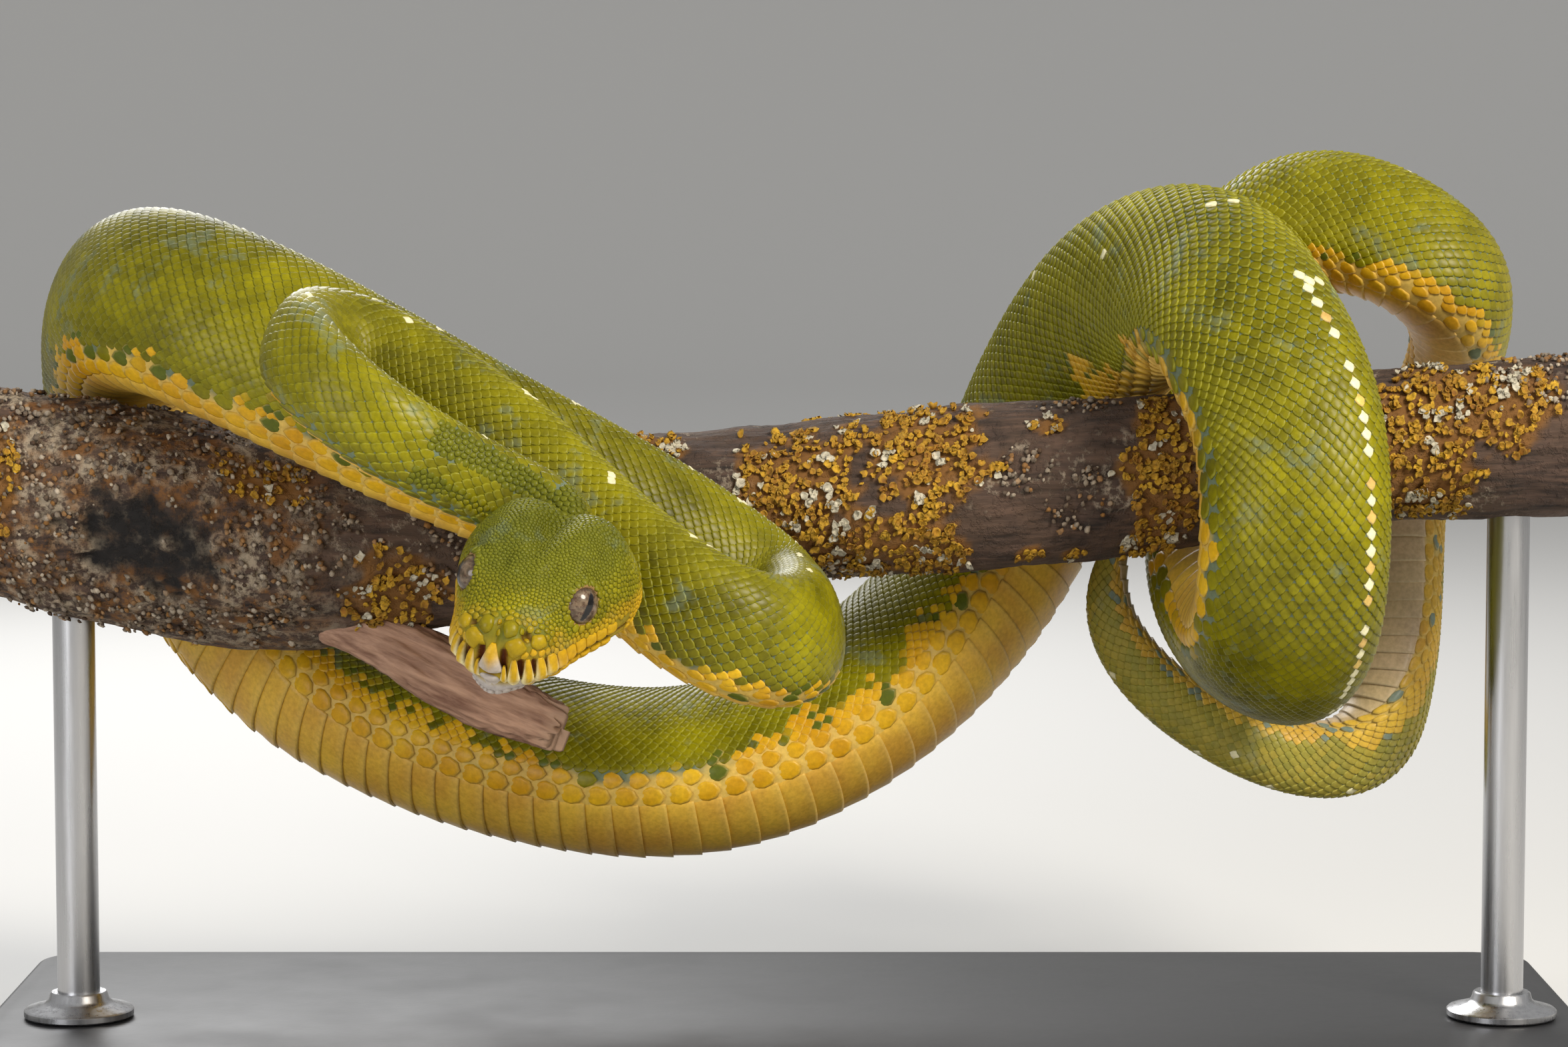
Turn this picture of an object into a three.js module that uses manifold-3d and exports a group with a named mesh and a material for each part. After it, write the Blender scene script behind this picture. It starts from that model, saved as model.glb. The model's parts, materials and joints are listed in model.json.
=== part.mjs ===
// A green tree python coiled on a cut length of branch: a still, life-size display model.
// Millimetres. +X runs along the branch, -Y is the side that the head faces, +Z is up.
// The origin is the centre of the stand's underside.

import * as THREE from 'three';
import { mergeVertices } from 'three/addons/utils/BufferGeometryUtils.js';
import Module from 'manifold-3d';

const wasm = await Module();
wasm.setup();

// ---------- driving dimensions ----------

const GAP = 0.3; // left between pieces that touch

// Body: half height at fractions of the way from the back of the head to the tip of the tail.
const GIRTH = [
  [0, 8.6], [0.02, 9.6], [0.045, 10.8], [0.08, 11.8], [0.11, 13.4], [0.15, 15.2], [0.19, 17],
  [0.23, 20.3], [0.27, 22.2], [0.33, 21.8], [0.42, 21.4], [0.55, 22.2], [0.68, 22], [0.76, 20.6],
  [0.8, 18.6], [0.84, 15], [0.87, 13.6], [0.9, 13.1], [0.93, 10.9], [0.955, 8.9], [0.982, 6.8],
  [1, 2.6],
];
const SIDE = 0.86; // half width over half height
const FALL = 0.13; // how far the widest part sits below the middle
const KEEL = 0.07; // how far the backbone stands up
const BODY_SIDES = 12;
const STEP = 0.42; // spacing of the body's rings over half height
const LEAST_STEP = 4.4;
const SAMPLES = 4000; // places measured along the middle line

// Head, in its own directions: forward, to the snake's left and up, from midway between the eyes.
const HEAD_AT = new THREE.Vector3(-52.5, -140, 129);
const HEAD_FORWARD = new THREE.Vector3(-0.34, -0.77, -0.54).normalize();
const HEAD_LEFT_HINT = new THREE.Vector3(0.94, -0.24, -0.245);
const HEAD_BACK = -27;
const SNOUT = 19.3;
const JAW_BACK = -18;
const JAW_TIP = 18;
const HEAD_WIDE = [
  [-27, 8], [-24, 14], [-20, 18], [-15, 19.5], [-10, 19.3], [-5, 17.8], [0, 15.8], [6, 13.8],
  [12, 12.7], [19.3, 11.8],
];
const HEAD_TOP = [
  [-27, -1.5], [-23, 3.6], [-18, 6.6], [-12, 7.6], [-5, 7.2], [0, 6.3], [6, 4.5], [12, 3.1],
  [16, 1.4], [19.3, -3],
];
const MOUTH = [[-27, -12.3], [-17, -12.6], [-9, -11.6], [0, -10.3], [9, -8.9], [19.3, -8]];
const CHIN = [
  [-27, -14.5], [-22, -17], [-16, -18], [-8, -17.4], [0, -16.4], [8, -15.2], [14, -14],
  [19.3, -12],
];
const SNOUT_ROUND_FROM = 8; // where the sides begin to close round the snout
const SNOUT_END = 0.04; // share of the width left at the very front
// Power of the head's outline from back to snout: 2 is an ellipse, more is squarer.
const FULLNESS = [[-27, 2.3], [0, 2.3], [12, 1.85], [19.3, 1.8]];
const HEAD_SIDES = 14;
const HEAD_RINGS = 14;
const LIP_INSET = 0.9; // the lower jaw closes inside the upper lips
const GROOVE_DEPTH = 1.6; // of the groove between the jaw muscles
const GROOVE_WIDTH = 4;
const GROOVE_FADE = [2, 18]; // distances behind the eyes where it begins and is deepest
const THROAT_RINGS = 4;
const EYE_RADIUS = 4.4;
const EYE_PLACE = [0.2, 10.4, -1.5];
const EYE_FACETS = [14, 10];

// The way the body lies: places on its middle line, and the direction that its back faces there.
const ROUTE = {
  neck: [
    [-46, -120, 134, 0, -0.55, 0.8], [-46, -116, 138, 0.2, -0.5, 0.85],
    [-62, -110, 147, 0.3, -0.25, 0.9], [-85, -112, 160, 0.2, -0.25, 0.9],
  ],
  frontHairpin: [
    [-103, -92, 176, 0.05, 0, 0.95], [-96, -78, 176, -0.05, 0, 1], [-64, -82, 157, 0.1, -0.2, 1],
    [-42, -89, 137, 0.2, -0.25, 1],
  ],
  lowHairpin: [
    [-16, -96, 117, 0.3, -0.3, 0.9], [-4, -89, 112, 0.3, -0.2, 0.9],
    [1, -72, 112, 0.2, -0.1, 0.95], [-3, -55, 114, 0.2, 0.1, 0.95],
    [-18, -48, 124, 0.2, 0.1, 0.95],
  ],
  alongBranch: [[-72, -46, 151, 0.2, -0.05, 1], [-144, -12, 181, 0, 0.2, 0.95]],
  overLeft: [
    [-163, 36, 167, -0.4, 0.7, 0.5], [-162, 52, 146, -0.3, 0.95, 0.1], [-153, 56, 129, -0.1, 1, 0],
    [-139, 50, 111, 0.15, 0.95, 0.25],
  ],
  hangingLoop: [
    [-116, 40, 90, 0.15, 0.75, 0.6], [-55, 24, 69, 0, 0.6, 0.8], [-12, 22, 70, -0.1, 0.6, 0.75],
    [25, 32, 89, -0.4, 0.6, 0.7],
  ],
  arch: [
    [53, 48, 121, -0.8, 0.55, 0.1], [62, 48, 140, -0.8, 0.3, 0.3],
    [80, 21, 177, -0.5, -0.35, 0.8], [99, -24, 185, 0.35, -0.6, 0.7],
    [106, -40, 174, 0.7, -0.6, 0.4], [112, -48, 157, 0.85, -0.5, 0.15],
    [114, -45, 122, 0.87, -0.45, -0.2], [112, -2, 103, 0.5, 0.3, -0.8],
  ],
  backLoop: [
    [108, 22, 108, 0.2, 0.7, -0.6], [107, 44, 120, 0.1, 1, -0.15], [107, 56, 142, -0.2, 0.95, 0.1],
    [116, 52, 190, -0.4, 0.4, 0.8], [132, 44, 199, 0, 0.1, 1], [150, 36, 194, 0.3, 0, 0.95],
    [163, 38, 184, 0.6, 0.3, 0.75],
  ],
  tail: [
    [166, 69, 160, 0.2, 1, 0.2], [159, 67, 144, 0.2, 1, 0], [153, 50, 125, 0.3, 0.95, -0.1],
    [152, 44, 106, 0.3, 0.95, -0.2], [146, 35, 77, 0.4, 0.2, -0.9],
    [134, 33, 70, 0.1, -0.3, -0.95], [99, 36, 81, -0.5, -0.5, -0.7], [80, 36, 106, -0.9, 0, -0.3],
    [83, 38, 128, -0.6, 0.8, 0.1],
  ],
};
const TENSION = 0.75; // power of the distance between two places that spaces them on the curve

// Where the named lengths of the body end, along its middle line: each bends by 80 degrees at most.
const NECK_ENDS = [24, 78];
const TRUNK_ENDS = [
  100, 124, 190, 226, 258, 330, 400, 455, 500, 560, 640, 720, 785, 850, 905, 960, 1005, 1075,
  1140, 1180, 1215,
];
const TAIL_ENDS = [1255, 1300, 1350, 1395];

// Perch: [x, height of the middle, radius] along the branch, and the shard torn from under it.
const BRANCH = [
  [-196, 140.5, 24.2], [-185, 137.3, 24.4], [-148, 131, 27], [-111, 125.8, 26], [-74, 127.7, 22.5],
  [-37, 132.3, 19.5], [0, 134.7, 18.5], [46, 138.4, 19], [92.5, 143.1, 18], [139, 148, 17.8],
  [185, 151, 19], [196, 151.8, 19.2],
];
const BARK_LUMPS = [[3, 0.055, 0.035], [5, -0.09, 0.02], [2, 0.02, 0.03]]; // [round, along, share]
const BRANCH_SIDES = 14;
const BRANCH_STEP = 14;
// Shard: [x, y, z, width, thickness] along its middle.
const SHARD = [
  [-108, -10, 106, 6, 6], [-92, -13, 103, 13, 8], [-76, -15, 94, 15, 7], [-63, -16, 88, 13, 6],
  [-53, -17, 84, 11, 3],
];
const SHARD_OUTLINE = [[-1, 0.5], [-0.2, 1], [1, 0.7], [0.9, -0.6], [0.1, -1], [-0.9, -0.8]];

// Display stand.
const BASE_SIZE = [380, 170, 12];
const BASE_CORNER = 14;
const BASE_BEVEL = 1.5;
const CORNER_FACETS = 4;
const ROD_X = [-168, 171];
const ROD_RADIUS = 5;
const ROD_SIDES = 16;
const FOOT_RADIUS = 13;
const FOOT_HEIGHT = 6;
const FOOT_LIP = 2;

// ---------- curves ----------

// A natural cubic spline through knots [t, value, value, ...]: a function of t that gives the values.
function naturalSpline(knots) {
  const last = knots.length - 1;
  const width = knots[0].length - 1;
  const step = knots.slice(1).map((knot, i) => knot[0] - knots[i][0]);
  const bends = knots.map(() => new Array(width).fill(0));
  for (let c = 0; c < width; c++) {
    const ratio = [0];
    const carried = [0];
    for (let i = 1; i < last; i++) {
      const slopeIn = (knots[i][c + 1] - knots[i - 1][c + 1]) / step[i - 1];
      const slopeOut = (knots[i + 1][c + 1] - knots[i][c + 1]) / step[i];
      const pivot = 2 * (step[i - 1] + step[i]) - step[i - 1] * ratio[i - 1];
      ratio.push(step[i] / pivot);
      carried.push((6 * (slopeOut - slopeIn) - step[i - 1] * carried[i - 1]) / pivot);
    }
    for (let i = last - 1; i > 0; i--) bends[i][c] = carried[i] - ratio[i] * bends[i + 1][c];
  }
  return (t) => {
    let i = 0;
    while (i < last - 1 && t > knots[i + 1][0]) i++;
    const h = step[i];
    const before = (knots[i + 1][0] - t) / h;
    const after = (t - knots[i][0]) / h;
    return bends[i].map((bend, c) => (
      before * knots[i][c + 1] + after * knots[i + 1][c + 1]
      + ((before ** 3 - before) * bend + (after ** 3 - after) * bends[i + 1][c]) * h * h / 6
    ));
  };
}

// The same through stations [place, value]: a function that gives one number.
function profile(stations) {
  const spline = naturalSpline(stations);
  return (place) => spline(place)[0];
}

// ---------- solids ----------

// Turns the faces outwards where a shape came out inside out.
function facingOut(geometry) {
  const { position } = geometry.attributes;
  const index = geometry.index.array;
  const [a, b, c] = [new THREE.Vector3(), new THREE.Vector3(), new THREE.Vector3()];
  let volume = 0;
  for (let i = 0; i < index.length; i += 3) {
    a.fromBufferAttribute(position, index[i]);
    b.fromBufferAttribute(position, index[i + 1]);
    c.fromBufferAttribute(position, index[i + 2]);
    volume += a.dot(b.cross(c));
  }
  if (volume < 0) geometry.setIndex(Array.from(index).reverse());
  return geometry;
}

// A closed solid through rings of points, each ring convex enough to be capped from its middle.
function loft(rings) {
  const sides = rings[0].length;
  const points = rings.flat();
  const index = [];
  for (let i = 0; i + 1 < rings.length; i++) {
    for (let j = 0; j < sides; j++) {
      const here = i * sides + j;
      const beside = i * sides + ((j + 1) % sides);
      index.push(here, beside, beside + sides, here, beside + sides, here + sides);
    }
  }
  for (const [first, order] of [[0, -1], [(rings.length - 1) * sides, 1]]) {
    const middle = new THREE.Vector3();
    for (let j = 0; j < sides; j++) middle.addScaledVector(points[first + j], 1 / sides);
    points.push(middle);
    for (let j = 0; j < sides; j++) {
      const pair = [first + j, first + ((j + 1) % sides)];
      if (order < 0) pair.reverse();
      index.push(...pair, points.length - 1);
    }
  }
  const geometry = new THREE.BufferGeometry().setFromPoints(points);
  geometry.setIndex(index);
  return facingOut(geometry);
}

function toSolid(geometry) {
  const bare = geometry.clone();
  bare.deleteAttribute('normal');
  bare.deleteAttribute('uv');
  const merged = mergeVertices(bare);
  return new wasm.Manifold(new wasm.Mesh({
    numProp: 3,
    vertProperties: new Float32Array(merged.attributes.position.array),
    triVerts: new Uint32Array(merged.index.array),
  }));
}

function toGeometry(solid) {
  const mesh = solid.getMesh();
  const geometry = new THREE.BufferGeometry();
  geometry.setAttribute('position', new THREE.BufferAttribute(mesh.vertProperties, 3));
  geometry.setIndex(new THREE.BufferAttribute(mesh.triVerts, 1));
  return geometry;
}

const model = new THREE.Group();

function addPiece(name, geometry, look) {
  const mesh = new THREE.Mesh(geometry, new THREE.MeshStandardMaterial(look));
  mesh.name = name;
  model.add(mesh);
  return mesh;
}

const GREEN = { color: 0x6f9a1c, roughness: 0.42 };
const LIP_YELLOW = { color: 0xc9b82e, roughness: 0.42 };
const EYE_BROWN = { color: 0x8a7a66, roughness: 0.08 };
const BARK = { color: 0x54413a, roughness: 0.9 };
const STAND_BLACK = { color: 0x1e1f21, roughness: 0.5 };
const ROD_STEEL = { color: 0xb8babd, roughness: 0.3, metalness: 1 };

// ---------- the body's middle line ----------

const places = Object.values(ROUTE).flat();
let travelled = 0;
const line = naturalSpline(places.map((place, i) => {
  if (i > 0) {
    const before = new THREE.Vector3(...places[i - 1]);
    travelled += before.distanceTo(new THREE.Vector3(...place)) ** TENSION;
  }
  return [travelled, ...place];
}));
const along = [0];
const samples = [line(0)];
for (let i = 1; i <= SAMPLES; i++) {
  samples.push(line(travelled * i / SAMPLES));
  const [from, to] = [samples[i - 1], samples[i]];
  along.push(along[i - 1] + Math.hypot(to[0] - from[0], to[1] - from[1], to[2] - from[2]));
}
const BODY_LENGTH = along[SAMPLES];

// Where the middle line is, and which way the body and its back face, a distance from the head.
function frameAt(distance) {
  let low = 0;
  let high = SAMPLES;
  while (high - low > 1) {
    const half = (low + high) >> 1;
    if (along[half] > distance) high = half;
    else low = half;
  }
  const share = (distance - along[low]) / (along[high] - along[low]);
  const sample = samples[low].map((value, c) => THREE.MathUtils.lerp(value, samples[high][c], share));
  const before = new THREE.Vector3(...samples[Math.max(low - 2, 0)]);
  const after = new THREE.Vector3(...samples[Math.min(high + 2, SAMPLES)]);
  const ahead = after.sub(before).normalize();
  const back = new THREE.Vector3(...sample.slice(3)).projectOnPlane(ahead).normalize();
  return { at: new THREE.Vector3(...sample), ahead, back, side: ahead.clone().cross(back) };
}

const girth = profile(GIRTH);

// The body's outline there: a rounded triangle with the backbone as its ridge.
function bodyRing(distance) {
  const { at, back, side } = frameAt(distance);
  const halfHeight = girth(distance / BODY_LENGTH);
  const ring = [];
  for (let k = 0; k < BODY_SIDES; k++) {
    const angle = 2 * Math.PI * k / BODY_SIDES;
    const out = SIDE * Math.sin(angle) * (1 - FALL * Math.cos(angle));
    const up = Math.cos(angle) + KEEL * Math.cos(2 * angle);
    const point = at.clone().addScaledVector(side, out * halfHeight);
    ring.push(point.addScaledVector(back, up * halfHeight));
  }
  return ring;
}

function bodyLength(from, to) {
  const start = from + (from > 0 ? GAP / 2 : 0);
  const end = to - (to < BODY_LENGTH ? GAP / 2 : 0);
  const spacing = Math.max(STEP * girth((start + end) / 2 / BODY_LENGTH), LEAST_STEP);
  const count = Math.ceil((end - start) / spacing);
  const rings = [];
  for (let i = 0; i <= count; i++) rings.push(bodyRing(start + (end - start) * i / count));
  return loft(rings);
}

// ---------- head ----------

const headLeft = HEAD_LEFT_HINT.clone().projectOnPlane(HEAD_FORWARD).normalize();
const headUp = HEAD_FORWARD.clone().cross(headLeft).normalize();
const headPlace = new THREE.Matrix4().makeBasis(HEAD_FORWARD, headLeft, headUp).setPosition(HEAD_AT);
const headWide = profile(HEAD_WIDE);
const headTop = profile(HEAD_TOP);
const headFullness = profile(FULLNESS);
const mouth = profile(MOUTH);
const chin = profile(CHIN);

// A half outline of the head: from one lip over the crown, or under the chin, to the other lip.
function headRing(forward, tip, edge, grow) {
  const closing = Math.max(0, (forward - SNOUT_ROUND_FROM) / (tip - SNOUT_ROUND_FROM));
  const round = Math.max(Math.sqrt(Math.max(0, 1 - closing ** 2)), SNOUT_END);
  const under = edge === chin;
  const halfWidth = (headWide(forward) - (under ? LIP_INSET : 0)) * round + grow;
  const lip = mouth(forward) + (under ? -GAP / 2 + grow : GAP / 2 - grow);
  const height = edge(forward) - lip + (under ? -grow : grow);
  const power = 2 / headFullness(forward);
  const ring = [];
  for (let k = 0; k <= HEAD_SIDES; k++) {
    const angle = Math.PI * (k / HEAD_SIDES - 0.5);
    const left = halfWidth * Math.sign(angle) * Math.abs(Math.sin(angle)) ** power;
    let up = lip + height * Math.max(Math.cos(angle), 0) ** power;
    if (!under && forward < 0) {
      const backness = THREE.MathUtils.smoothstep(-forward, ...GROOVE_FADE);
      up -= GROOVE_DEPTH * backness * Math.exp(-((left / GROOVE_WIDTH) ** 2));
    }
    ring.push(new THREE.Vector3(forward, left, up).applyMatrix4(headPlace));
  }
  return ring;
}

function headShell(from, to, edge, grow) {
  const rings = [];
  for (let i = 0; i <= HEAD_RINGS; i++) {
    const share = Math.sin(Math.PI / 2 * i / HEAD_RINGS); // rings crowd together at the snout
    rings.push(headRing(from + (to - from) * share, to, edge, grow));
  }
  return toSolid(loft(rings));
}

function eyeBall(hand, grow) {
  const ball = new THREE.SphereGeometry(EYE_RADIUS + grow, ...EYE_FACETS);
  const place = new THREE.Vector3(EYE_PLACE[0], EYE_PLACE[1] * hand, EYE_PLACE[2]);
  ball.applyMatrix4(new THREE.Matrix4().setPosition(place)).applyMatrix4(headPlace);
  return ball;
}

// The skull and upper lip, with the throat behind the jaw, as one piece.
function headSolid(grow) {
  const throat = [];
  for (let i = 0; i <= THROAT_RINGS; i++) {
    const forward = THREE.MathUtils.lerp(HEAD_BACK, JAW_BACK, i / THROAT_RINGS);
    throat.push(headRing(forward, JAW_TIP, chin, grow + GAP));
  }
  return headShell(HEAD_BACK, SNOUT, headTop, grow).add(toSolid(loft(throat)));
}

function buildHead() {
  let head = headSolid(0);
  for (const [name, hand] of [['eye_left', 1], ['eye_right', -1]]) {
    head = head.subtract(toSolid(eyeBall(hand, GAP)));
    addPiece(name, eyeBall(hand, 0), EYE_BROWN);
  }
  addPiece('head', toGeometry(head), GREEN);
  const jaw = headShell(JAW_BACK + GAP, JAW_TIP, chin, 0);
  addPiece('lower_jaw', toGeometry(jaw), LIP_YELLOW);
}

// ---------- body ----------

function buildBody() {
  const headRoom = headSolid(GAP);
  const runs = [['neck', NECK_ENDS], ['trunk', TRUNK_ENDS], ['tail', [...TAIL_ENDS, BODY_LENGTH]]];
  let from = 0;
  for (const [region, ends] of runs) {
    ends.forEach((to, i) => {
      let geometry = bodyLength(from, to);
      if (from === 0) geometry = toGeometry(toSolid(geometry).subtract(headRoom));
      addPiece(`${region}_${String(i + 1).padStart(2, '0')}`, geometry, GREEN);
      from = to;
    });
  }
}

// ---------- perch ----------

const branchLine = naturalSpline(BRANCH);

function branchSolid(grow) {
  const [start, end] = [BRANCH[0][0], BRANCH[BRANCH.length - 1][0]];
  const count = Math.round((end - start) / BRANCH_STEP);
  const rings = [];
  for (let i = 0; i <= count; i++) {
    const x = start + (end - start) * i / count;
    const [height, radius] = branchLine(x);
    const ring = [];
    for (let k = 0; k < BRANCH_SIDES; k++) {
      const angle = 2 * Math.PI * k / BRANCH_SIDES;
      let reach = radius + grow;
      for (const [round, rate, share] of BARK_LUMPS) {
        reach += radius * share * Math.sin(round * angle + rate * x);
      }
      ring.push(new THREE.Vector3(x, reach * Math.sin(angle), height + reach * Math.cos(angle)));
    }
    rings.push(ring);
  }
  return toSolid(loft(rings));
}

// The shard hangs from the underside where the wood tore, its flat face towards the front.
function shardSolid() {
  const rings = SHARD.map(([x, y, z, width, thickness], i) => {
    const next = SHARD[Math.min(i + 1, SHARD.length - 1)];
    const before = SHARD[Math.max(i - 1, 0)];
    const run = new THREE.Vector3(...next.slice(0, 3)).sub(new THREE.Vector3(...before.slice(0, 3)));
    run.normalize();
    const across = new THREE.Vector3(0, -1, 0).cross(run).normalize();
    const through = run.clone().cross(across);
    return SHARD_OUTLINE.map(([a, b]) => new THREE.Vector3(x, y, z)
      .addScaledVector(across, a * width / 2).addScaledVector(through, b * thickness / 2));
  });
  return toSolid(loft(rings));
}

function buildPerch() {
  addPiece('perch_branch', toGeometry(branchSolid(0)), BARK);
  addPiece('perch_shard', toGeometry(shardSolid().subtract(branchSolid(GAP))), BARK);
}

// ---------- stand ----------

function buildStand() {
  const [length, depth, height] = BASE_SIZE;
  const [x, y, r] = [length / 2 - BASE_BEVEL, depth / 2 - BASE_BEVEL, BASE_CORNER];
  const outline = new THREE.Shape();
  outline.moveTo(-x + r, -y);
  outline.absarc(x - r, -y + r, r, -Math.PI / 2, 0);
  outline.absarc(x - r, y - r, r, 0, Math.PI / 2);
  outline.absarc(-x + r, y - r, r, Math.PI / 2, Math.PI);
  outline.absarc(-x + r, -y + r, r, Math.PI, Math.PI * 1.5);
  const base = new THREE.ExtrudeGeometry(outline, {
    depth: height - 2 * BASE_BEVEL,
    bevelThickness: BASE_BEVEL,
    bevelSize: BASE_BEVEL,
    bevelSegments: 1,
    curveSegments: CORNER_FACETS,
  });
  addPiece('stand_base', base, STAND_BLACK).position.z = BASE_BEVEL;

  const branchRoom = branchSolid(GAP);
  ['left', 'right'].forEach((hand, i) => {
    const bottom = height + GAP;
    const top = branchLine(ROD_X[i])[0];
    const rod = new THREE.CylinderGeometry(ROD_RADIUS, ROD_RADIUS, top - bottom, ROD_SIDES);
    rod.rotateX(Math.PI / 2).translate(ROD_X[i], 0, (top + bottom) / 2);
    addPiece(`stand_rod_${hand}`, toGeometry(toSolid(rod).subtract(branchRoom)), ROD_STEEL);

    const bore = ROD_RADIUS + GAP;
    const section = [
      [bore, 0], [FOOT_RADIUS, 0], [FOOT_RADIUS, FOOT_LIP], [bore + FOOT_LIP, FOOT_HEIGHT],
      [bore, FOOT_HEIGHT], [bore, 0],
    ];
    const foot = new THREE.LatheGeometry(section.map((corner) => new THREE.Vector2(...corner)), ROD_SIDES);
    foot.rotateX(Math.PI / 2).translate(ROD_X[i], 0, bottom);
    addPiece(`stand_foot_${hand}`, foot, ROD_STEEL);
  });
}

buildHead();
buildBody();
buildPerch();
buildStand();

export default model;
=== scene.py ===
# %% [markdown]
# # A green tree python, coiled on its branch
#
# A museum model of a snake is two things at once: a few large smooth forms, the coils and the head,
# and thousands of small scales that follow them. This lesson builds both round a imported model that
# already holds the true sizes. Lengths in the tables are millimetres, and meshes are made in metres.

import json
import math

import bpy
import numpy as np
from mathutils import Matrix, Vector, kdtree, noise
from mathutils.bvhtree import BVHTree

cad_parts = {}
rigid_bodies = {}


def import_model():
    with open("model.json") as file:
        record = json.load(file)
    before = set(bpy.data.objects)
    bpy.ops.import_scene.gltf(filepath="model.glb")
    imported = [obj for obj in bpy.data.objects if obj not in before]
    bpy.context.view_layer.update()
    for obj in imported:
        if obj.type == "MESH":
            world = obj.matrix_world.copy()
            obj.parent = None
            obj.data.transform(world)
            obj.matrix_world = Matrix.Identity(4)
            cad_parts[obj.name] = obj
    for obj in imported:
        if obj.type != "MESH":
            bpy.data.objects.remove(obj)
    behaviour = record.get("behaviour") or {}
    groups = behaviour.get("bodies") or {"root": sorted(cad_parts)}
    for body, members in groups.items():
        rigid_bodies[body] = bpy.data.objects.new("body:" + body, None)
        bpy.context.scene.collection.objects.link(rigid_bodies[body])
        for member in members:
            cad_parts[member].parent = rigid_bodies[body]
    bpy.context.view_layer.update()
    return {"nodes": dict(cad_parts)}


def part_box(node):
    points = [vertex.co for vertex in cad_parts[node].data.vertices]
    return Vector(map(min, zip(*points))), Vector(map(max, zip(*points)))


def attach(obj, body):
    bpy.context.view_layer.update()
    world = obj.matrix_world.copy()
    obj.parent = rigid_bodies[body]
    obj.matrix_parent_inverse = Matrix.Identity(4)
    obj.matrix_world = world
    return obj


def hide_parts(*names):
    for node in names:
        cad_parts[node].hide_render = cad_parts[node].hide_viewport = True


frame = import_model()
MM = 0.001
FLESH = sorted(n for n in frame["nodes"] if n.startswith(("head", "lower_jaw", "neck", "trunk", "tail")))
print(len(frame["nodes"]), "nodes, of which flesh:", len(FLESH))

# %% [markdown]
# ## The line that the body follows
#
# A snake's body is one long tube, so everything on it is placed by two numbers: how far along the
# middle line, and which way round from the backbone. The line could be drawn as a curve object with
# a bevel, but then the scales could not ask it for places. Here it is a smooth spline through the
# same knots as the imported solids, written as a function that scales and skin both use.

# %% Knots of the middle line, with the direction that the back faces at each
ROUTE = [
    # neck
    (-46, -120, 134, 0, -0.55, 0.8), (-46, -116, 138, 0.2, -0.5, 0.85),
    (-62, -110, 147, 0.3, -0.25, 0.9), (-85, -112, 160, 0.2, -0.25, 0.9),
    # hairpin at the front
    (-103, -92, 176, 0.05, 0, 0.95), (-96, -78, 176, -0.05, 0, 1), (-64, -82, 157, 0.1, -0.2, 1),
    (-42, -89, 137, 0.2, -0.25, 1),
    # low hairpin under the chin
    (-16, -96, 117, 0.3, -0.3, 0.9), (-4, -89, 112, 0.3, -0.2, 0.9), (1, -72, 112, 0.2, -0.1, 0.95),
    (-3, -55, 114, 0.2, 0.1, 0.95), (-18, -48, 124, 0.2, 0.1, 0.95),
    # along the branch
    (-72, -46, 151, 0.2, -0.05, 1), (-144, -12, 181, 0, 0.2, 0.95),
    # over its left end
    (-163, 36, 167, -0.4, 0.7, 0.5), (-162, 52, 146, -0.3, 0.95, 0.1), (-153, 56, 129, -0.1, 1, 0),
    (-139, 50, 111, 0.15, 0.95, 0.25),
    # hanging loop
    (-116, 40, 90, 0.15, 0.75, 0.6), (-55, 24, 69, 0, 0.6, 0.8), (-12, 22, 70, -0.1, 0.6, 0.75),
    (25, 32, 89, -0.4, 0.6, 0.7),
    # arch over the branch
    (53, 48, 121, -0.8, 0.55, 0.1), (62, 48, 140, -0.8, 0.3, 0.3), (80, 21, 177, -0.5, -0.35, 0.8),
    (99, -24, 185, 0.35, -0.6, 0.7), (106, -40, 174, 0.7, -0.6, 0.4), (112, -48, 157, 0.85, -0.5, 0.15),
    (114, -45, 122, 0.87, -0.45, -0.2), (112, -2, 103, 0.5, 0.3, -0.8),
    # loop at the back
    (108, 22, 108, 0.2, 0.7, -0.6), (107, 44, 120, 0.1, 1, -0.15), (107, 56, 142, -0.2, 0.95, 0.1),
    (116, 52, 190, -0.4, 0.4, 0.8), (132, 44, 199, 0, 0.1, 1), (150, 36, 194, 0.3, 0, 0.95),
    (163, 38, 184, 0.6, 0.3, 0.75),
    # tail
    (166, 69, 160, 0.2, 1, 0.2), (159, 67, 144, 0.2, 1, 0), (153, 50, 125, 0.3, 0.95, -0.1),
    (152, 44, 106, 0.3, 0.95, -0.2), (146, 35, 77, 0.4, 0.2, -0.9), (134, 33, 70, 0.1, -0.3, -0.95),
    (99, 36, 81, -0.5, -0.5, -0.7), (80, 36, 106, -0.9, 0, -0.3), (83, 38, 128, -0.6, 0.8, 0.1),
]
TENSION = 0.75
# Half height of the body at fractions of its length.
GIRTH = [
    (0, 8.6), (0.02, 9.6), (0.045, 10.8), (0.08, 11.8), (0.11, 13.4), (0.15, 15.2), (0.19, 17),
    (0.23, 20.3), (0.27, 22.2), (0.33, 21.8), (0.42, 21.4), (0.55, 22.2), (0.68, 22), (0.76, 20.6),
    (0.8, 18.6), (0.84, 15), (0.87, 13.6), (0.9, 13.1), (0.93, 10.9), (0.955, 8.9), (0.982, 6.8), (1, 2.6),
]
SIDE, FALL, KEEL = 0.86, 0.13, 0.07  # the section: narrower than high, widest low, backbone standing up
COAT = 0.9  # depth that the skin lies inside the solids, under the scales


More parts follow.
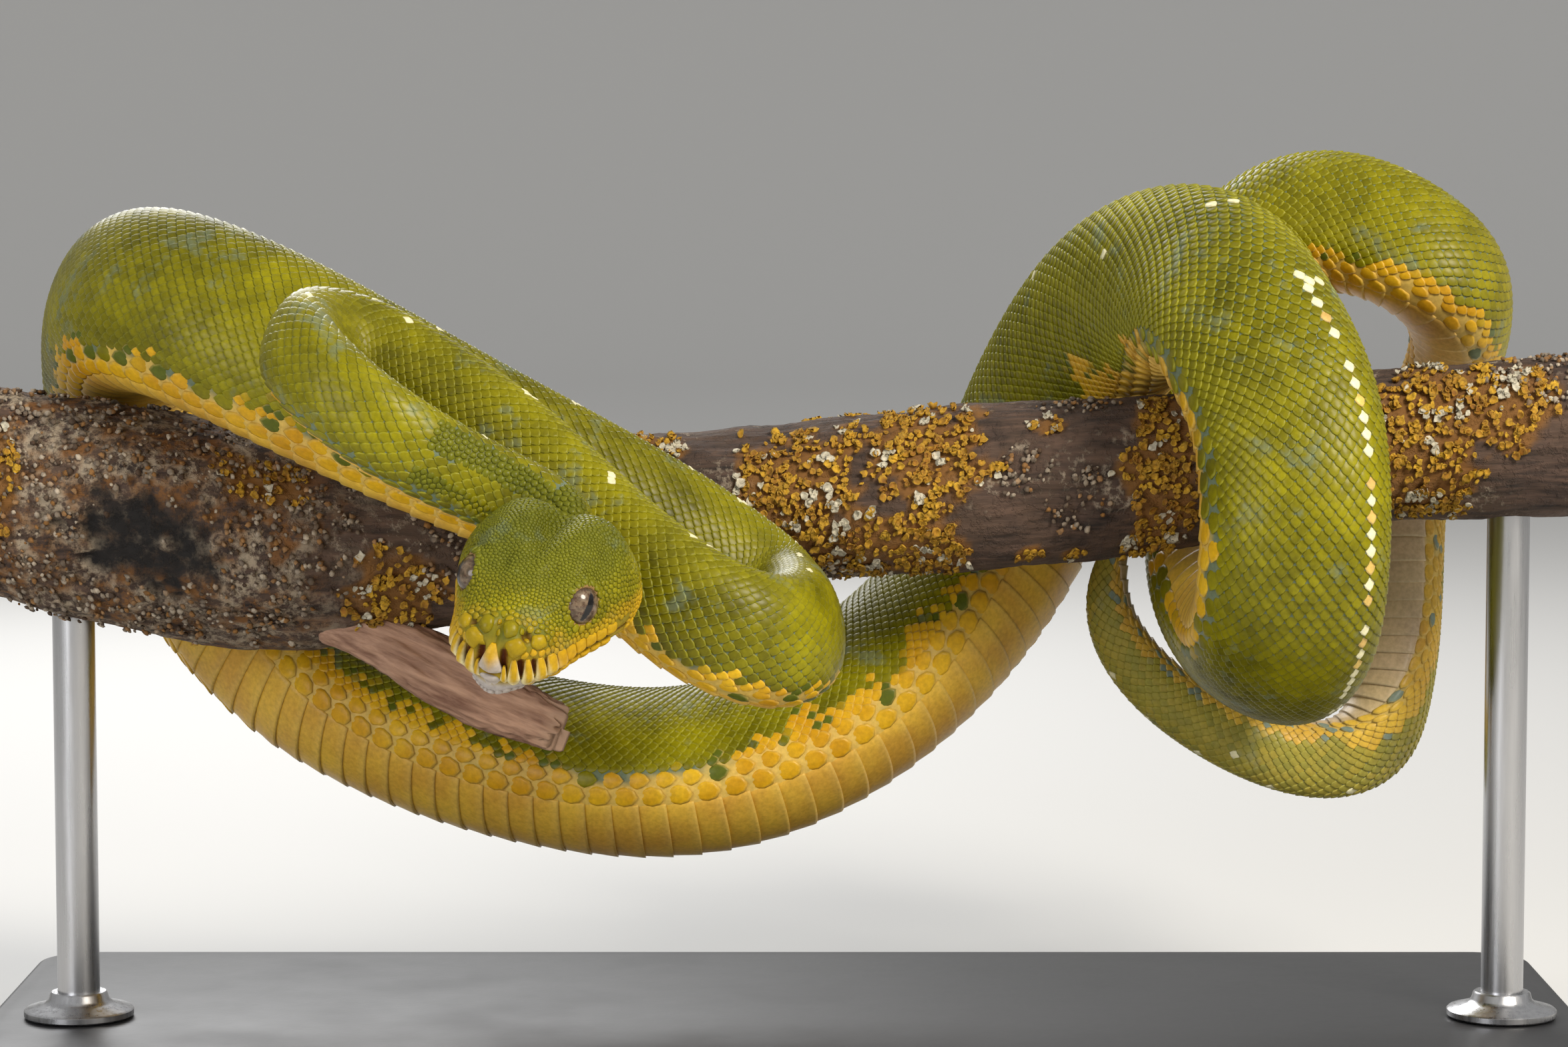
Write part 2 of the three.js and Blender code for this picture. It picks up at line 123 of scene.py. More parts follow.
# %% A natural spline, and the body's surface as a function
def natural_spline(knots):
    """A smooth curve through rows [t, value, ...], as a function of an array of t."""
    table = np.array(knots, float)
    t, y = table[:, 0], table[:, 1:]
    h = np.diff(t)
    system, right = np.eye(len(t)), np.zeros_like(y)
    for i in range(1, len(t) - 1):
        system[i, i - 1:i + 2] = h[i - 1], 2 * (h[i - 1] + h[i]), h[i]
        right[i] = 6 * ((y[i + 1] - y[i]) / h[i] - (y[i] - y[i - 1]) / h[i - 1])
    bend = np.linalg.solve(system, right)

    def value(at):
        at = np.asarray(at, float)
        i = np.clip(np.searchsorted(t, at) - 1, 0, len(t) - 2)
        before, after = ((t[i + 1] - at) / h[i])[..., None], ((at - t[i]) / h[i])[..., None]
        curve = (before ** 3 - before) * bend[i] + (after ** 3 - after) * bend[i + 1]
        return before * y[i] + after * y[i + 1] + curve * (h[i] ** 2 / 6)[..., None]

    return value


def profile(stations):
    """The same for one number: the value at each place."""
    spline = natural_spline(stations)
    return lambda at: spline(at)[..., 0]


def ramp(value, whole=1):
    """Value over whole, held between 0 and 1."""
    return np.clip(value / whole, 0, 1)


def unit(vectors):
    return vectors / np.linalg.norm(vectors, axis=-1, keepdims=True)


def line_samples(count=4000):
    """Running lengths of many points of the middle line, and rows of their place and back."""
    places = np.array(ROUTE, float)
    chord = np.linalg.norm(np.diff(places[:, :3], axis=0), axis=1) ** TENSION
    travel = np.concatenate([[0], np.cumsum(chord)])
    fine = natural_spline(np.column_stack([travel, places]))(np.linspace(0, travel[-1], count + 1))
    steps = np.linalg.norm(np.diff(fine[:, :3], axis=0), axis=1)
    return np.concatenate([[0], np.cumsum(steps)]), fine


LENGTHS, LINE = line_samples()
BODY_LENGTH = LENGTHS[-1]
AHEAD = unit(np.gradient(LINE[:, :3], LENGTHS, axis=0))
girth = profile(GIRTH)
print("the body is", round(BODY_LENGTH), "mm long")


def along_line(table, s):
    """Rows of a table for LENGTHS, read between its samples."""
    return np.stack([np.interp(s, LENGTHS, table[:, c]) for c in range(table.shape[1])], -1)


def half_height(s):
    return girth(np.clip(s, 0, BODY_LENGTH) / BODY_LENGTH)


TIP_ROUND = 3.0  # the tail's end is rounded off over this length


def on_body(s, theta, lift=0.0):
    """Points on the body, s along it and theta round from the backbone, raised by lift."""
    kept = np.clip(s, 0, BODY_LENGTH)
    row = along_line(LINE, kept)
    ahead = unit(along_line(AHEAD, kept))
    back = row[..., 3:] - (row[..., 3:] * ahead).sum(-1, keepdims=True) * ahead
    back = unit(back)
    side = np.cross(ahead, back)
    closing = np.sqrt(1 - np.clip((s - kept) / TIP_ROUND, -1, 1) ** 2)
    half, lift = half_height(kept) * closing, lift * closing
    out = SIDE * np.sin(theta) * (1 - FALL * np.cos(theta))
    up = np.cos(theta) + KEEL * np.cos(2 * theta)
    out_turn = SIDE * (np.cos(theta) - FALL * np.cos(2 * theta))
    up_turn = -np.sin(theta) - 2 * KEEL * np.sin(2 * theta)
    size = np.hypot(out_turn, up_turn)
    reach = out * half - up_turn / size * lift
    rise = up * half + out_turn / size * lift
    middle = row[..., :3] + ahead * (s - kept)[..., None]
    return middle + side * reach[..., None] + back * rise[..., None]


# Arc length round the section for a half height of 1, to lay rows of scales at even widths.
ROUND = np.linspace(0, math.pi, 721)
_across = np.hypot(np.gradient(SIDE * np.sin(ROUND) * (1 - FALL * np.cos(ROUND))),
                   np.gradient(np.cos(ROUND) + KEEL * np.cos(2 * ROUND)))
ARC = np.concatenate([[0], np.cumsum((_across[1:] + _across[:-1]) / 2)])
HALF_ROUND = ARC[-1]


def theta_at(arc, s):
    """The angle from the backbone at a distance round the skin, either way."""
    return np.sign(arc) * np.interp(np.abs(arc) / half_height(s), ARC, ROUND)


print("half the way round is", round(float(HALF_ROUND), 3), "half heights")

# %% [markdown]
# ## The head's form
#
# The head has directions of its own: forward, to the snake's left and up, from a point midway between
# the eyes. Its outline comes from a few profiles along it. A sculptor would push clay about a block;
# profiles do the same in code, and keep the two sides alike.

# %% Profiles of the head
HEAD_AT = np.array([-52.5, -140, 129])
FORWARD = unit(np.array([-0.34, -0.77, -0.54]))
LEFT = np.array([0.94, -0.24, -0.245])
LEFT = unit(LEFT - FORWARD * (LEFT @ FORWARD))
UP = np.cross(FORWARD, LEFT)
HEAD_BACK, SNOUT, JAW_TIP = -27, 19.3, 18
head_wide = profile([
    (-27, 8), (-24, 14), (-20, 18), (-15, 19.5), (-10, 19.3), (-5, 17.8), (0, 15.8), (6, 13.8),
    (12, 12.7), (19.3, 11.8),
])
head_top = profile([
    (-27, -1.5), (-23, 3.6), (-18, 6.6), (-12, 7.6), (-5, 7.2), (0, 6.3), (6, 4.5), (12, 3.1),
    (16, 1.4), (19.3, -3),
])
mouth = profile([(-27, -12.3), (-17, -12.6), (-9, -11.6), (0, -10.3), (9, -9.1), (19.3, -8.6)])
chin = profile([
    (-27, -14.5), (-22, -17), (-16, -18), (-8, -17.4), (0, -16.4), (8, -15.2), (14, -14), (19.3, -12),
])
fullness = profile([(-27, 2.3), (0, 2.3), (12, 1.85), (19.3, 1.8)])
SNOUT_ROUND_FROM = 8
GROOVE_DEPTH, GROOVE_WIDTH = 1.6, 4
HEAD_COAT = 0.45


def to_world(head_points):
    """From the head's forward, left and up to the model's X, Y and Z."""
    head_points = np.asarray(head_points, float)
    return HEAD_AT + head_points @ np.stack([FORWARD, LEFT, UP])


def to_head(points):
    return (points - HEAD_AT) @ np.stack([FORWARD, LEFT, UP]).T


def snout_closing(f, tip):
    q = ramp((f - SNOUT_ROUND_FROM) / (tip - SNOUT_ROUND_FROM))
    return np.maximum(np.sqrt(1 - q ** 2), 0.04)


def on_head(f, turn, grow):
    """Points round the head, turn from -180 to 180 degrees: crown at 0, lips at 90, chin at 180."""
    under = np.abs(turn) > 90
    angle = np.radians(np.where(under, np.sign(turn) * 180 - turn, turn))
    tip = np.where(under, JAW_TIP, SNOUT)
    wide = (head_wide(f) - np.where(under, 0.9, 0)) * snout_closing(f, tip) + grow
    lip = mouth(f)
    height = np.where(under, chin(f) - grow, head_top(f) + grow) - lip
    power = 2 / fullness(f)
    left = wide * np.sign(angle) * np.abs(np.sin(angle)) ** power
    up = lip + height * np.maximum(np.cos(angle), 0) ** power
    back = ramp(-f - 2, 16)
    back = back * back * (3 - 2 * back)
    up = up - np.where(under, 0, GROOVE_DEPTH * back * np.exp(-(left / GROOVE_WIDTH) ** 2))
    return np.stack([f, left, up], -1)


# %% [markdown]
# ## Small helpers for meshes
#
# Every new piece starts as one of Blender's own primitives. A grid is the most useful one here: its
# flat x and y become the two numbers that a surface function takes, so bending the grid gives a tube,
# a head or a strip of bark, and the edges that meet are then merged as by hand.

# %% Helpers
WELD = 1e-6


def deselect():
    bpy.ops.object.select_all(action="DESELECT")


def pick(*pieces):
    deselect()
    for piece in pieces:
        piece.select_set(True)
    bpy.context.view_layer.objects.active = pieces[0]


def points_of(piece):
    flat = np.empty(len(piece.data.vertices) * 3)
    piece.data.vertices.foreach_get("co", flat)
    return flat.reshape(-1, 3)


def move_points(piece, points):
    piece.data.vertices.foreach_set("co", np.asarray(points, float).ravel())
    piece.data.update()


def edit(piece, *steps):
    """Runs edit-mode operators on the whole mesh, each given as (operator, its settings)."""
    pick(piece)
    bpy.ops.object.mode_set(mode="EDIT")
    bpy.ops.mesh.select_all(action="SELECT")
    for operator, settings in steps:
        operator(**settings)
    bpy.ops.object.mode_set(mode="OBJECT")


def put(piece, name, values):
    """A number for each point of the mesh, for the materials to read."""
    layer = piece.data.attributes.get(name) or piece.data.attributes.new(name, "FLOAT", "POINT")
    layer.data.foreach_set("value", np.asarray(values, np.float32))


def take(piece, name):
    values = np.empty(len(piece.data.vertices), np.float32)
    piece.data.attributes[name].data.foreach_get("value", values)
    return values.astype(float)


def wrap_grid(name, columns, rows, shape, close=False):
    """A grid bent to shape(u, v), u and v from 0 to 1, its meeting edges merged and, with close, its holes
    closed.
    """
    deselect()
    bpy.ops.mesh.primitive_grid_add(x_subdivisions=columns, y_subdivisions=rows, size=2)
    piece = bpy.context.object
    piece.name = piece.data.name = name
    flat = (points_of(piece) + 1) / 2
    put(piece, "across", flat[:, 0])
    put(piece, "along", flat[:, 1])
    move_points(piece, shape(flat[:, 0], flat[:, 1]) * MM)
    steps = [(bpy.ops.mesh.remove_doubles, {"threshold": WELD})]
    if close:
        steps += [(bpy.ops.mesh.fill_holes, {"sides": 0})]
    edit(piece, *steps, (bpy.ops.mesh.normals_make_consistent, {"inside": False}))
    return piece


def apply_modifier(piece, kind, **settings):
    pick(piece)
    modifier = piece.modifiers.new(kind.title(), kind)
    for key, value in settings.items():
        setattr(modifier, key, value)
    bpy.ops.object.modifier_apply(modifier=modifier.name)


def triangles(piece):
    return sum(len(face.vertices) - 2 for face in piece.data.polygons)


def stand_for(piece, slot, *nodes):
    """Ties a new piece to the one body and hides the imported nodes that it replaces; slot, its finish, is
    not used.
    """
    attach(piece, "root")
    if nodes:
        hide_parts(*nodes)


def speckle(points, size, seed=0.0):
    """Smooth noise from -1 to 1 at each point, its lumps about as large as size."""
    return np.array([noise.noise(Vector(p) / size + Vector((seed, seed, seed))) for p in points])


# %% [markdown]
# ## One skin
#
# The skin is the snake's whole outline in one mesh, a coat's depth inside the solids. The head, the
# throat and the start of the neck meet at awkward angles, so they are made as closed forms and melted
# together by a voxel remesh, which a sculptor would use too. The long body needs no melting: it is a
# bent grid, and the two are bridged along one loop of edges.

# %% The head and the start of the neck, melted into one form
NECK_CUT = 42.0  # where the melted part ends and the long tube begins
VOXEL = 0.42
COAT_FULL = 90  # length where the coat has its full depth


def sunk(s):
    """Depth of the skin under the solids: shallow at the head and full on the body."""
    return HEAD_COAT + (COAT - HEAD_COAT) * ramp(s / COAT_FULL)


def head_form(u, v):
    f = HEAD_BACK + (SNOUT - HEAD_BACK) * np.sin(math.pi / 2 * u)
    return to_world(on_head(f, 360 * v - 180, -HEAD_COAT))


def neck_form(u, v):
    s = (NECK_CUT + 10) * u
    return on_body(s, 2 * math.pi * v - math.pi, -sunk(s))


skin_head = wrap_grid("skin_head", 90, 120, head_form, close=True)
neck = wrap_grid("neck_start", 70, 72, neck_form, close=True)
pick(skin_head, neck)
bpy.ops.object.join()
apply_modifier(skin_head, "REMESH", mode="VOXEL", voxel_size=VOXEL * MM)
apply_modifier(skin_head, "SMOOTH", factor=0.5, iterations=6)
print("melted head:", triangles(skin_head), "triangles")

# %% [markdown]
# The face gets its relief by moving the melted points along their own normals: rounded nostril plates,
# brows, the pits between the lip scales that sense warmth, and a sunk rim round each eye. Sculpting
# brushes would do this by hand; a short table of soft bumps does it alike on both sides.

# %% The lip line, the eyes and the relief of the face
def lip_samples():
    """Running length from the front of the snout, forward and left of the lips on the left side."""
    turn = np.linspace(math.pi / 2, 0, 160)
    f = np.concatenate([SNOUT_ROUND_FROM + (SNOUT - SNOUT_ROUND_FROM) * np.sin(turn),
                        np.linspace(SNOUT_ROUND_FROM, -16, 160)[1:]])
    q = ramp((f - SNOUT_ROUND_FROM) / (SNOUT - SNOUT_ROUND_FROM))
    left = head_wide(f) * np.sqrt(1 - q ** 2)
    steps = np.hypot(np.diff(f), np.diff(left))
    return np.concatenate([[0], np.cumsum(steps)]), f, left


LIP_RUN, LIP_F, LIP_LEFT = lip_samples()


def lip_place(run, rise):
    """Head coordinates of a point rise above the lips, run along them from the front of the snout."""
    f = np.interp(np.abs(run), LIP_RUN, LIP_F)
    left = np.sign(run) * np.interp(np.abs(run), LIP_RUN, LIP_LEFT)
    return np.stack([f, left, mouth(f) + rise], -1)


def lip_run(points):
    """How far along the lips each point in head coordinates lies, to the left above 0."""
    gap = (points[:, 0, None] - LIP_F) ** 2 + (np.abs(points[:, 1, None]) - LIP_LEFT) ** 2
    return np.sign(points[:, 1]) * LIP_RUN[np.argmin(gap, axis=1)]


EYE_AT = np.array([-0.4, 10.8, -0.6])
EYE_RADIUS = 4.5
EYE_FACING = unit(np.array([0.45, 0.8, 0.4]))
EYE_ACROSS = unit(np.cross(EYE_FACING, [-1.2, 0, 1]))
EYE_UP = np.cross(EYE_ACROSS, EYE_FACING)
EYE_NARROW = 1.17  # height of the eye's opening over its width
LID = 3.85  # radius of the opening
HANDS = {"left": np.array([1, 1, 1]), "right": np.array([1, -1, 1])}

# Pits: run along the lips, lowest and highest rise, half width and depth.
PITS = [(0.0, 1.1, 2.2, 1.3, 0.9), (2.75, 2.2, 7.2, 0.75, 1.6), (6.5, 1.0, 4.9, 0.8, 1.5),
        (9.5, 1.4, 4.6, 0.65, 1.2), (12.5, 2.4, 4.3, 0.4, 0.7)]
# Soft bumps: forward, left, up, reach in each of those directions, and height.
BUMPS = [
    (14.4, 2.5, 1.7, 2.6, 1.9, 2.2, 0.9),     # inner plate over the snout
    (16.2, 4.9, -0.8, 2.4, 2.4, 2.2, 1.25),   # nostril plate
    (13.8, 5.6, 0.2, 0.9, 0.8, 1.1, -1.7),    # nostril
    (12.4, 7.9, -1.6, 2.8, 1.8, 2.6, 0.8),    # plate behind the nostril
    (15.5, 0, 1.0, 3.6, 0.6, 3.0, -1.0),      # seam down the middle of the snout
    (16.5, 0, -12.5, 4.5, 5.5, 3.5, 1.3),     # chin
    (7.5, 3.4, 4.6, 3.2, 2.6, 2.4, -0.8),     # dip before the eyes
    (3.5, 9.2, 3.4, 4.4, 1.6, 1.8, 1.2),      # brow
    (-5, 9.8, 5.0, 4.5, 2.2, 2.2, 0.8),
    (-0.5, 5.0, 5.5, 2.8, 1.7, 3, -1.0),      # dips inside the brows
    (-6, 0, 7, 6, 1.8, 4, -1.1),              # furrow down the middle, deepest at the back
    (-16, 0, 7, 7, 2.4, 6, -2.3),
    (-11.5, 7.5, 6.5, 6, 4.2, 5, 1.3),        # jaw muscles
    (-19, 9.5, 4, 5, 4.5, 5, 0.9),
]


def relief(points):
    """Height of the face's relief at points in head coordinates, in two parts: forms, then pits."""
    apart = np.abs(points[:, 1])
    forms = np.zeros(len(points))
    for f, left, up, along, across, high, height in BUMPS:
        away = (((points[:, 0] - f) / along) ** 2 + ((apart - left) / across) ** 2
                + ((points[:, 2] - up) / high) ** 2)
        forms += height * np.exp(-away)
    run, rise = np.abs(lip_run(points)), points[:, 2] - mouth(points[:, 0])
    pits = np.zeros(len(points))
    for at, low, high, width, depth in PITS:
        inside = 1 / (1 + np.exp(-(rise - low) * 4)) / (1 + np.exp((rise - high) * 4))
        pits -= depth * inside * np.exp(-((run - at) / width) ** 2)
    crease = -1.0 * np.exp(-((rise + 0.2) / 0.45) ** 2) * (points[:, 0] > -14)
    return forms, pits + crease


def eye_distances(points):
    """Distance from each eye's axis, and along it, at points in head coordinates: the nearer eye's."""
    mirrored = points * np.array([1, 1, 1]) * np.where(points[:, 1:2] < 0, [[1, -1, 1]], [[1, 1, 1]])
    apart = mirrored - EYE_AT
    return np.hypot(apart @ EYE_ACROSS * EYE_NARROW, apart @ EYE_UP), apart @ EYE_FACING


def normals_of(piece):
    flat = np.empty(len(piece.data.vertices) * 3)
    piece.data.vertices.foreach_get("normal", flat)
    return flat.reshape(-1, 3)


FACE_BACK, FACE_REACH = -26, 36  # the relief lies ahead of the one and within the other
SOCKET = LID + 2.5  # radius where the skin begins to turn in towards the eye
melted = points_of(skin_head) / MM
plain_faces = [face.vertices[:] for face in skin_head.data.polygons]
plain_tree = BVHTree.FromPolygons([Vector(p) for p in melted], plain_faces)
face = to_head(melted)
on_face = (face[:, 0] > FACE_BACK) & (np.linalg.norm(melted - HEAD_AT, axis=1) < FACE_REACH)
forms, pits = relief(face)
lift = (forms + pits) * on_face
melted = melted + normals_of(skin_head) * lift[:, None]
face = to_head(melted)
off_axis, ahead_of_eye = eye_distances(face)
near_eye = on_face & (ahead_of_eye > -1) & (off_axis < SOCKET)
LID_DEPTH = math.sqrt(EYE_RADIUS ** 2 - LID ** 2)
rim_target = LID_DEPTH + 0.25 - 2.2 * ramp(LID - off_axis, 1.2)
blend = ramp(SOCKET - off_axis, 2.1)
blend = blend * blend * (3 - 2 * blend) * near_eye
facing = np.where(face[:, 1:2] < 0, EYE_FACING * HANDS["right"], EYE_FACING)
face = face + facing * ((rim_target - ahead_of_eye) * blend)[:, None]
move_points(skin_head, to_world(face) * MM)
apply_modifier(skin_head, "SMOOTH", factor=0.4, iterations=2)

# %% The long body, bridged on to the neck
cut_at = on_body(np.array([NECK_CUT]), np.array([0.0]), -half_height(NECK_CUT))[0] * MM
cut_way = unit(along_line(AHEAD, np.array([NECK_CUT])))[0]
edit(skin_head, (bpy.ops.mesh.bisect, {"plane_co": cut_at, "plane_no": cut_way, "clear_outer": True}))
RING_POINTS, RING_STEP = 60, 2.6
BRIDGE = 0.7  # gap left for the bridge
TUBE_FROM = NECK_CUT + BRIDGE
TUBE_LONG = BODY_LENGTH + TIP_ROUND - NECK_CUT - BRIDGE
FRONT_SHARE = 0.03  # of the tube, which scales may be draped over too
NECK_SEARCH = 60  # no point of the melted part belongs to the body beyond this length
HEAD_ENDS, OFF_TUBE = 10, 0.8  # the head's own points lie before the one or further off than the other


def body_form(u, v):
    s = TUBE_FROM + TUBE_LONG * u
    return on_body(s, 2 * math.pi * v - math.pi, -sunk(s))


skin = wrap_grid("skin", int(BODY_LENGTH / RING_STEP), RING_POINTS, body_form)
put(skin_head, "melted", np.ones(len(skin_head.data.vertices)))
put(skin, "melted", np.zeros(len(skin.data.vertices)))
pick(skin, skin_head)
bpy.ops.object.join()
pick(skin)
bpy.ops.object.mode_set(mode="EDIT")
bpy.ops.mesh.select_mode(type="EDGE")
bpy.ops.mesh.select_non_manifold(extend=False, use_wire=False, use_multi_face=False,
                                 use_non_contiguous=False, use_verts=False)
bpy.ops.mesh.bridge_edge_loops()
bpy.ops.mesh.select_all(action="SELECT")
bpy.ops.mesh.normals_make_consistent(inside=False)
bpy.ops.object.mode_set(mode="OBJECT")
bpy.ops.object.shade_smooth()
stand_for(skin, "skin", *FLESH)
skin_points = points_of(skin) / MM
skin_melted = take(skin, "melted") > 0.5
front_part = skin_melted | (take(skin, "across") < FRONT_SHARE)
front_faces = [face.vertices[:] for face in skin.data.polygons if front_part[face.vertices[0]]]
skin_tree = BVHTree.FromPolygons([Vector(p) for p in skin_points], front_faces)

# Every point's length and angle along the body, and which points are the head's own.
skin_s = TUBE_FROM + TUBE_LONG * take(skin, "across")
skin_theta = 2 * math.pi * take(skin, "along") - math.pi
early = LENGTHS < NECK_SEARCH
for i in np.where(skin_melted)[0]:
    nearest = np.argmin(((LINE[early, :3] - skin_points[i]) ** 2).sum(1))
    skin_s[i] = LENGTHS[nearest]
    off = skin_points[i] - LINE[nearest, :3]
    ahead = AHEAD[nearest]
    up_here = LINE[nearest, 3:] - (LINE[nearest, 3:] @ ahead) * ahead
    skin_theta[i] = math.atan2(off @ np.cross(ahead, unit(up_here)), off @ unit(up_here))
off_tube = np.linalg.norm(skin_points - on_body(skin_s, skin_theta, -sunk(skin_s)), axis=1)
near_head = skin_melted & ((skin_s < HEAD_ENDS) | (off_tube > OFF_TUBE))
print("one skin:", triangles(skin), "triangles")

# %% [markdown]
# ## Markings, the same on skin and scales
#
# The colours follow the body: green above, yellow below with a ragged edge, single pale scales along
# the backbone. They could be painted by hand on a texture. Here each point of skin and each scale
# works out a few numbers from its place, and one material turns those numbers into colour.

# %% Where the yellow begins, and the pale spots of the backbone
# Distance along the body, and share of the way round from backbone to belly where the yellow begins.
BORDER = np.array([
    (0, 0.8), (60, 0.82), (120, 0.7), (200, 0.62), (230, 0.67), (300, 0.71), (345, 0.68), (374, 0.64),
    (400, 0.69), (450, 0.65), (520, 0.63), (600, 0.55), (625, 0.58), (660, 0.68), (700, 0.6), (740, 0.6),
    (775, 0.72), (820, 0.68), (848, 0.6), (890, 0.7), (950, 0.77), (1000, 0.75), (1100, 0.7), (1160, 0.62),
    (1230, 0.6), (1300, 0.49), (1345, 0.52), (1380, 0.53), (1460, 0.56),
])
# Pale spots beside the backbone: distance along the body, and to the side of the backbone.
SPOTS = [
    (29, 2), (51, -1), (87, 1), (104, 0), (113, 3), (139, -3), (142, -2), (156, 1), (168, 2), (190, -1),
    (195, -3), (232, 1), (247, 0), (261, 1), (275, -1), (288, 0), (304, 1), (316, 1), (352, 0), (405, 2),
    (470, -1), (560, 2), (640, -2), (720, 1), (790, 0), (850, 4), (881, 18), (902, 7), (904, 3), (918, 2),
    (924, 4), (926, 6), (925, 2), (996, 16), (1010, 4), (1050, 0), (1120, 3), (1190, -1), (1260, 1),
    (1330, 2), (1348, 1), (1363, 3), (1376, 0), (1387, 5), (1394, 0), (1409, -1), (1420, 1), (1433, 0),
]
RIDGE_FROM, RIDGE_TO, RIDGE_ROW = 922, 1003, 4  # the crowded ones on the arch, on the fourth row
TAIL_FROM, TAIL_BY = 1200, 70  # where the tail's own colours begin, and the length they take to do so
# The tail's lighter green is partly its own colour and partly painted light, brightening it where it lies
# in shade.
TAIL_PALE, TAIL_TONE_AND_LIGHT = 0.09, 2.4  # how much paler the tail is, and how much lighter its green
TAIL_SPOT = 0.95  # radius of the tail's spots
BULGE_AT, BULGE_LONG, BULGE_DEEP = 848, 11, 0.17  # where the yellow reaches up at the arch's left foot


def share_of(s, arc):
    """Share of the way round from the backbone to the middle of the belly."""
    return np.abs(arc) / (HALF_ROUND * half_height(s))


def tailward(s):
    """0 on the body, 1 on the tail, whose colours are paler."""
    return ramp(s - TAIL_FROM, TAIL_BY)


def tint(s, arc, ragged):
    """Yellow, pale and blotch, each from 0 to 1, for places along and round the body."""
    share, side = share_of(s, arc), np.sign(arc)
    spread = np.stack([s, 40 * side, 0 * s], -1)
    border = np.interp(s, *BORDER.T) + 0.06 * speckle(spread, 20) + 0.065 * speckle(spread, 7, 5)
    border = border - BULGE_DEEP * np.exp(-((s - BULGE_AT) / BULGE_LONG) ** 2) * (arc > 0)
    yellow = ramp((share - border + 0.05 * ragged) / 0.012 + 0.5)
    spread = np.stack([s, arc, 0 * s], -1)
    edge = border + 0.13 + 0.25 * tailward(s)
    blotch_and_shade = (speckle(spread, 6, 9) + 0.3 * ragged > 0.43) * yellow * (share < edge)
    yellow = np.maximum(yellow, tailward(s) * (0.12 + 0.12 * ragged))
    pale = np.zeros_like(s)
    for at, aside in SPOTS:
        radius = 1.1 + 0.35 * math.sin(7 * at) if at < TAIL_FROM else TAIL_SPOT
        pale = np.maximum(pale, np.hypot((s - at) / 1.2, arc - aside) < radius)
    ridge = (s > RIDGE_FROM) & (s < RIDGE_TO) & (np.abs(arc - RIDGE_ROW * row_width(s)) < 0.6)
    ridge &= np.sin(1.3 * s) + 0.6 * np.sin(0.53 * s) > -0.95
    warm = np.sin(3.7 * s) > 0.5
    pale = np.maximum(pale, ridge * np.where(warm, 0.25, 1))
    yellow = np.where(ridge & warm, 1.3, yellow)
    pale = np.maximum(pale, TAIL_PALE * tailward(s))
    return yellow * (1 - pale), pale, blotch_and_shade


# %% [markdown]
# ## The coat of scales
#
# Green tree pythons have small smooth scales in oblique rows, about fifty rows across the back. Each is
# a rounded rhombus whose rear tip stands a little proud over the next two. One scale is modelled from
# a circle: extruded for its wall, inset for its bevelled top. Array modifiers could repeat
# it, but they can't thin the rows out towards neck and tail, so the copies are laid by a function that
# bends each one to the body. Where a bend stretches the skin, the scales part and the skin shows.

# %% The pattern scale and the pattern plate
UNDER, RIM, CROWN = 0, 1, 2  # the three levels of a scale
BEVEL = 0.26  # width of a scale's sloping edge, for a radius of 1


def pattern(piece):
    """The points, levels and faces of a pattern piece, which is then removed."""
    points = points_of(piece)
    levels = np.round(points[:, 2]).astype(int)
    faces = [tuple(face.vertices) for face in piece.data.polygons]
    bpy.data.objects.remove(piece)
    return points[:, :2], levels, faces


def button(sides, insets, turn=0.0):
    """A round button: a wall as high as 1, then a step up of 1 after each inset of its top."""
    deselect()
    bpy.ops.mesh.primitive_circle_add(vertices=sides, radius=1, fill_type="NGON", rotation=(0, 0, turn))
    piece = bpy.context.object
    bpy.ops.object.transform_apply(rotation=True)
    bpy.ops.object.mode_set(mode="EDIT")
    bpy.ops.mesh.select_all(action="SELECT")
    bpy.ops.mesh.extrude_region_move(TRANSFORM_OT_translate={"value": (0, 0, 1)})
    for thickness in insets:
        bpy.ops.mesh.inset(thickness=thickness, depth=0)
        bpy.ops.transform.translate(value=(0, 0, 1))
    bpy.ops.mesh.select_all(action="SELECT")
    bpy.ops.mesh.normals_make_consistent(inside=False)
    bpy.ops.object.mode_set(mode="OBJECT")
    return piece


def plate_pattern(columns, rows):
    """A thin slab, its grid lines crowding towards the edges so that they can be rounded."""
    deselect()
    bpy.ops.mesh.primitive_grid_add(x_subdivisions=columns, y_subdivisions=rows, size=2)
    piece = bpy.context.object
    spread = points_of(piece)
    spread[:, :2] = np.sin(spread[:, :2] * math.pi / 2)
    move_points(piece, spread)
    edit(piece, (bpy.ops.mesh.extrude_region_move, {"TRANSFORM_OT_translate": {"value": (0, 0, 1)}}),
         (bpy.ops.mesh.select_all, {"action": "SELECT"}),
         (bpy.ops.mesh.normals_make_consistent, {"inside": False}))
    return piece


SCALE = pattern(button(8, [BEVEL], math.pi / 2))
PLATE = pattern(plate_pattern(5, 13))
print("a scale:", len(SCALE[0]), "points,", sum(len(f) - 2 for f in SCALE[2]), "triangles")


# %% Laying many copies of a pattern as one mesh
PATCH = 0.003  # width of a scale's patch on the unwrap


